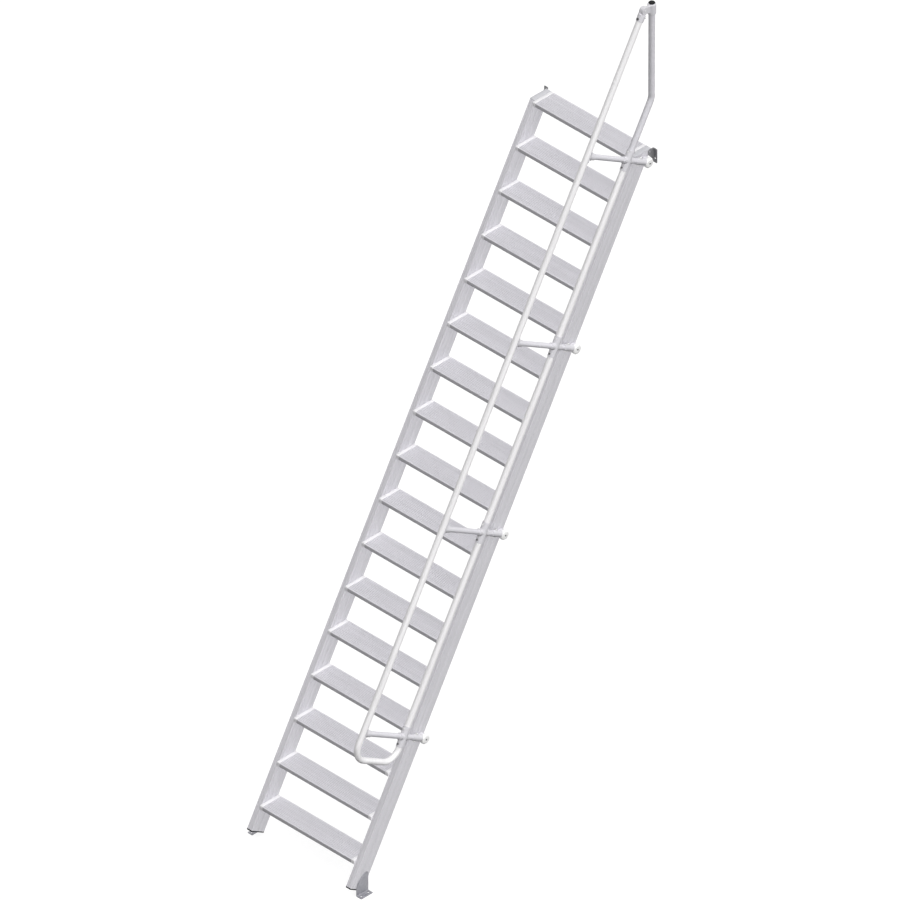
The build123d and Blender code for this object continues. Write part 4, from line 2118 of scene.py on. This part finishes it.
    def _clamp(self) -> Casting:
        """A ring round the upright with an arm to the knuckle, drawn about the knuckle.

        Returns:
            The casting.
        """
        lines = self.lines
        reach = lines.clamp_reach
        middle = lines.upright_past_eye - self.clamp_high / 2
        ring = lines.rail_bore + self.clamp_wall
        arm = (self.knuckle_half / 2, reach / 2, self.knuckle / 2 - self.rim / 2)
        arm_centre = (self.knuckle_half / 6, reach / 2, middle / 2)
        disc, room = self._eye(1)
        return Casting(
            (
                Drum(ring, self.clamp_high / 2, (0, 0, 1), (0, reach, middle), self.ring_dome),
                disc,
                Slab(arm, arm_centre, math.atan2(middle, reach), self.rim),
            ),
            (Drum(lines.rail_bore, self.clamp_high, (0, 0, 1), (0, reach, middle)), room),
        )

    def _socket(self) -> Casting:
        """A socket on the handrail's end with its eye, drawn about the knuckle, its y uphill.

        Returns:
            The casting.
        """
        lines = self.lines
        half = self.knuckle_half / 2
        to_end = lines.socket_to_eye
        long = (self.socket_long + lines.fit_wall) / 2
        middle = lines.fit_wall - to_end - long
        seat = self.socket_long
        disc, room = self._eye(-1)
        return Casting(
            (
                Drum(lines.sleeve, long, (0, 1, 0), (0, middle, 0), self.rim),
                disc,
                Slab((half, to_end / 2, self.socket_neck / 2), (-half, -to_end / 2, 0), rim=self.rim),
            ),
            (Drum(lines.rail_bore, seat, (0, 1, 0), (0, -to_end - seat, 0)), room),
            self._no_wider(),
        )

    def build(self, shop: Workshop) -> None:
        """Build the castings and their screws.

        Args:
            shop: The workshop that takes the pieces.
        """
        lines = self.lines
        knee, hand, foot = lines.knee_line, lines.hand_line, self.foot_eye_in
        cross, saddle = self._cross().mesh("cross"), self._saddle().mesh("saddle")
        boss, dome = self._foot().mesh("foot"), self._foot_dome()
        rows = (
            ("cross_castings", cross, knee, Finish.FITTING, Slot.FITTING, "cross_fittings"),
            ("saddle_castings", saddle, hand, Finish.FITTING, Slot.FITTING, "rail_saddles"),
            ("post_foot_castings", boss, foot, Finish.FITTING, Slot.CAST, "post_feet"),
            ("post_foot_domes", dome, foot, Finish.FOOT_HIGHLIGHT, Slot.CAST, "post_feet"),
        )
        for name, mesh, out, finish, slot, node in rows:
            shop.deliver(name, self._row(mesh, out), finish, slot, node)
        clamp = Body().add(self._clamp().mesh("clamp"), Matrix.Translation(lines.eye))
        shop.deliver("upright_clamp", clamp, Finish.FITTING, Slot.CAST, "top_clamp")
        at_eye = lines.flight.lay(lines.x, lines.eye_run, hand)
        socket = Body().add(self._socket().mesh("socket"), at_eye)
        shop.deliver("handrail_socket", socket, Finish.FITTING, Slot.CAST, "top_socket")
        self._screws(shop)

    def _screws(self, shop: Workshop) -> None:
        """The screws and bolts of every fitting.

        Args:
            shop: The workshop that takes the pieces.
        """
        lines, eye = self.lines, self.lines.eye
        dark, bright = Body(), Body()
        for run in lines.post_runs:
            self._post_screws(run, dark, bright)
        for way in (1, -1):
            face = eye + X_AXIS * (way * self.knuckle_half)
            self.pivot_screw.fit(bright, placing(face, Y_AXIS, X_AXIS * way))
        uphill, outward = lines.flight.uphill, lines.flight.outward
        side, down = self.side_bolt_lean
        right = (X_AXIS * side - outward * down).normalized()
        bolts = ((dark, outward, self.socket_bolt_top), (bright, right, self.socket_bolt_side))
        for body, way, below in bolts:
            seat = eye - uphill * below + way * (lines.sleeve - self.bite)
            self.socket_bolt.fit(body, placing(seat, uphill, way))
        shop.deliver("dark_screws", dark, Finish.SCREW, Slot.DARK_STEEL)
        shop.deliver("bright_bolts", bright, Finish.BOLT, Slot.GALVANISED)

    def _post_screws(self, run: float, dark: Body, bright: Body) -> None:
        """Put in the screws of one post.

        Args:
            run: The post's run up the slope.
            dark: The body of the dark screws.
            bright: The body of the bright screws and bolts.
        """
        lines = self.lines
        flight = lines.flight
        uphill, outward = flight.uphill, flight.outward
        knee, hand, foot = (
            flight.at(lines.x, run, out)
            for out in (lines.knee_line, lines.hand_line, self.foot_eye_in)
        )
        on_sleeve = outward * (lines.sleeve - self.bite)
        on_branch = uphill * (lines.branch - self.bite)
        # Painted shade: of the two screws in each knee rail sleeve, the downhill one is in the dark
        # finish, which stands for the shade at the sleeve's lower end; the uphill one is bright.
        for way, body in ((1, bright), (-1, dark)):
            seat = knee + uphill * (way * self.sleeve_screw_off) + on_sleeve
            self.sleeve_screw.fit(body, placing(seat, X_AXIS, outward))
            seat = knee + outward * (way * self.branch_screw_off) - on_branch
            self.branch_screw.fit(dark, placing(seat, X_AXIS, -uphill))
            seat = foot + outward * self.foot_bolt_out + on_branch * way
            self.foot_bolt.fit(bright, placing(seat, X_AXIS, uphill * way))
        seat = hand - outward * (lines.sleeve + self.saddle_screw_off) - on_branch
        self.branch_screw.fit(dark, placing(seat, X_AXIS, -uphill))
        seat = foot + X_AXIS * (self._dome_face - lines.rail_offset - self.screw_sunk)
        self.dome_screw.fit(dark, placing(seat, Y_AXIS, X_AXIS))


@dataclass(frozen=True)
class Lamp:
    """One far, broad lamp of the studio."""

    name: str
    from_where: Vector
    strength: float
    spread: float
    shadow: bool = False

    def hang(self) -> None:
        """Put the lamp in the scene."""
        light = bpy.data.lights.new(self.name, "SUN")
        light.energy = self.strength
        light.angle = math.radians(self.spread)
        light.use_shadow = self.shadow
        lamp = bpy.data.objects.new(self.name, light)
        lamp.rotation_euler = self.from_where.to_track_quat("Z", "Y").to_euler()
        bpy.context.scene.collection.objects.link(lamp)


@dataclass(frozen=True)
class Studio:
    """The pale floor, the soft light and the long-lens camera."""

    floor_half: float = 24.0
    aim: Vector = Vector((-0.4646, 1.1858, 2.4364))
    view_wide: float = 5.3773
    lens: float = 1700.0
    sensor: float = 36.0
    lamps: tuple[Lamp, ...] = (
        Lamp("front_lamp", Vector((0.40, -0.42, 0.81)), 1.42, 30.0),
        Lamp("side_lamp", Vector((0.74, 0.30, 0.60)), 1.62, 30.0),
        Lamp("top_lamp", Vector((0.25, -0.15, 0.95)), 0.74, 80.0, shadow=True),
    )
    room_light: float = 0.15

    def build(self) -> None:
        """Set up the floor, the lights and the camera."""
        self._floor()
        for lamp in self.lamps:
            lamp.hang()
        self._room()
        self._camera()
        bpy.context.scene.view_settings.view_transform = "Standard"

    def _floor(self) -> None:
        """A level floor under the feet."""
        half = self.floor_half
        loop = rectangle(2 * half, 2 * half)
        mesh = bpy.data.meshes.new("floor")
        mesh.from_pydata([(a, b, 0.0) for a, b in loop], [], [(0, 1, 2, 3)])
        mesh.materials.append(PaleFloor().make("pale_floor"))
        floor = bpy.data.objects.new("floor", mesh)
        bpy.context.scene.collection.objects.link(floor)

    def _room(self) -> None:
        """An even room light that the camera and gloss see as white."""
        world = bpy.data.worlds.new("room")
        world.use_nodes = True
        bpy.context.scene.world = world
        sheet = NodeSheet(world.node_tree)
        strength = sheet.seen_straight() * (1.0 - self.room_light) + self.room_light
        glow = sheet.node("ShaderNodeBackground", {}, {"Color": (1, 1, 1, 1), "Strength": strength})
        sheet.lead_out(glow, "ShaderNodeOutputWorld")

    def _camera(self) -> None:
        """A camera far off on the photograph's line of sight."""
        camera = bpy.data.cameras.new("camera")
        camera.lens = self.lens
        camera.sensor_width = self.sensor
        distance = self.view_wide * self.lens / self.sensor
        back = Vector((1.0, -1.0, 1.0)).normalized()
        camera.clip_start = 1.0
        camera.clip_end = 2.0 * distance
        holder = bpy.data.objects.new("camera", camera)
        holder.location = self.aim + back * distance
        holder.rotation_euler = back.to_track_quat("Z", "Y").to_euler()
        bpy.context.scene.collection.objects.link(holder)
        bpy.context.scene.camera = holder


def main() -> None:
    """Build the stair's pieces in order, then the studio."""
    logging.basicConfig(level=logging.INFO, format="%(message)s")
    flight = Flight()
    lines = RailLines(flight)
    shop = Workshop(make_finishes(flight))
    parts = (
        Stringers(flight),
        Treads(flight),
        TreadBrackets(flight),
        Brackets(flight),
        RailTubes(lines),
        Fittings(lines),
    )
    for part in parts:
        log.info("building %s", type(part).__name__)
        part.build(shop)
    Studio().build()


if __name__ == "__main__":
    main()
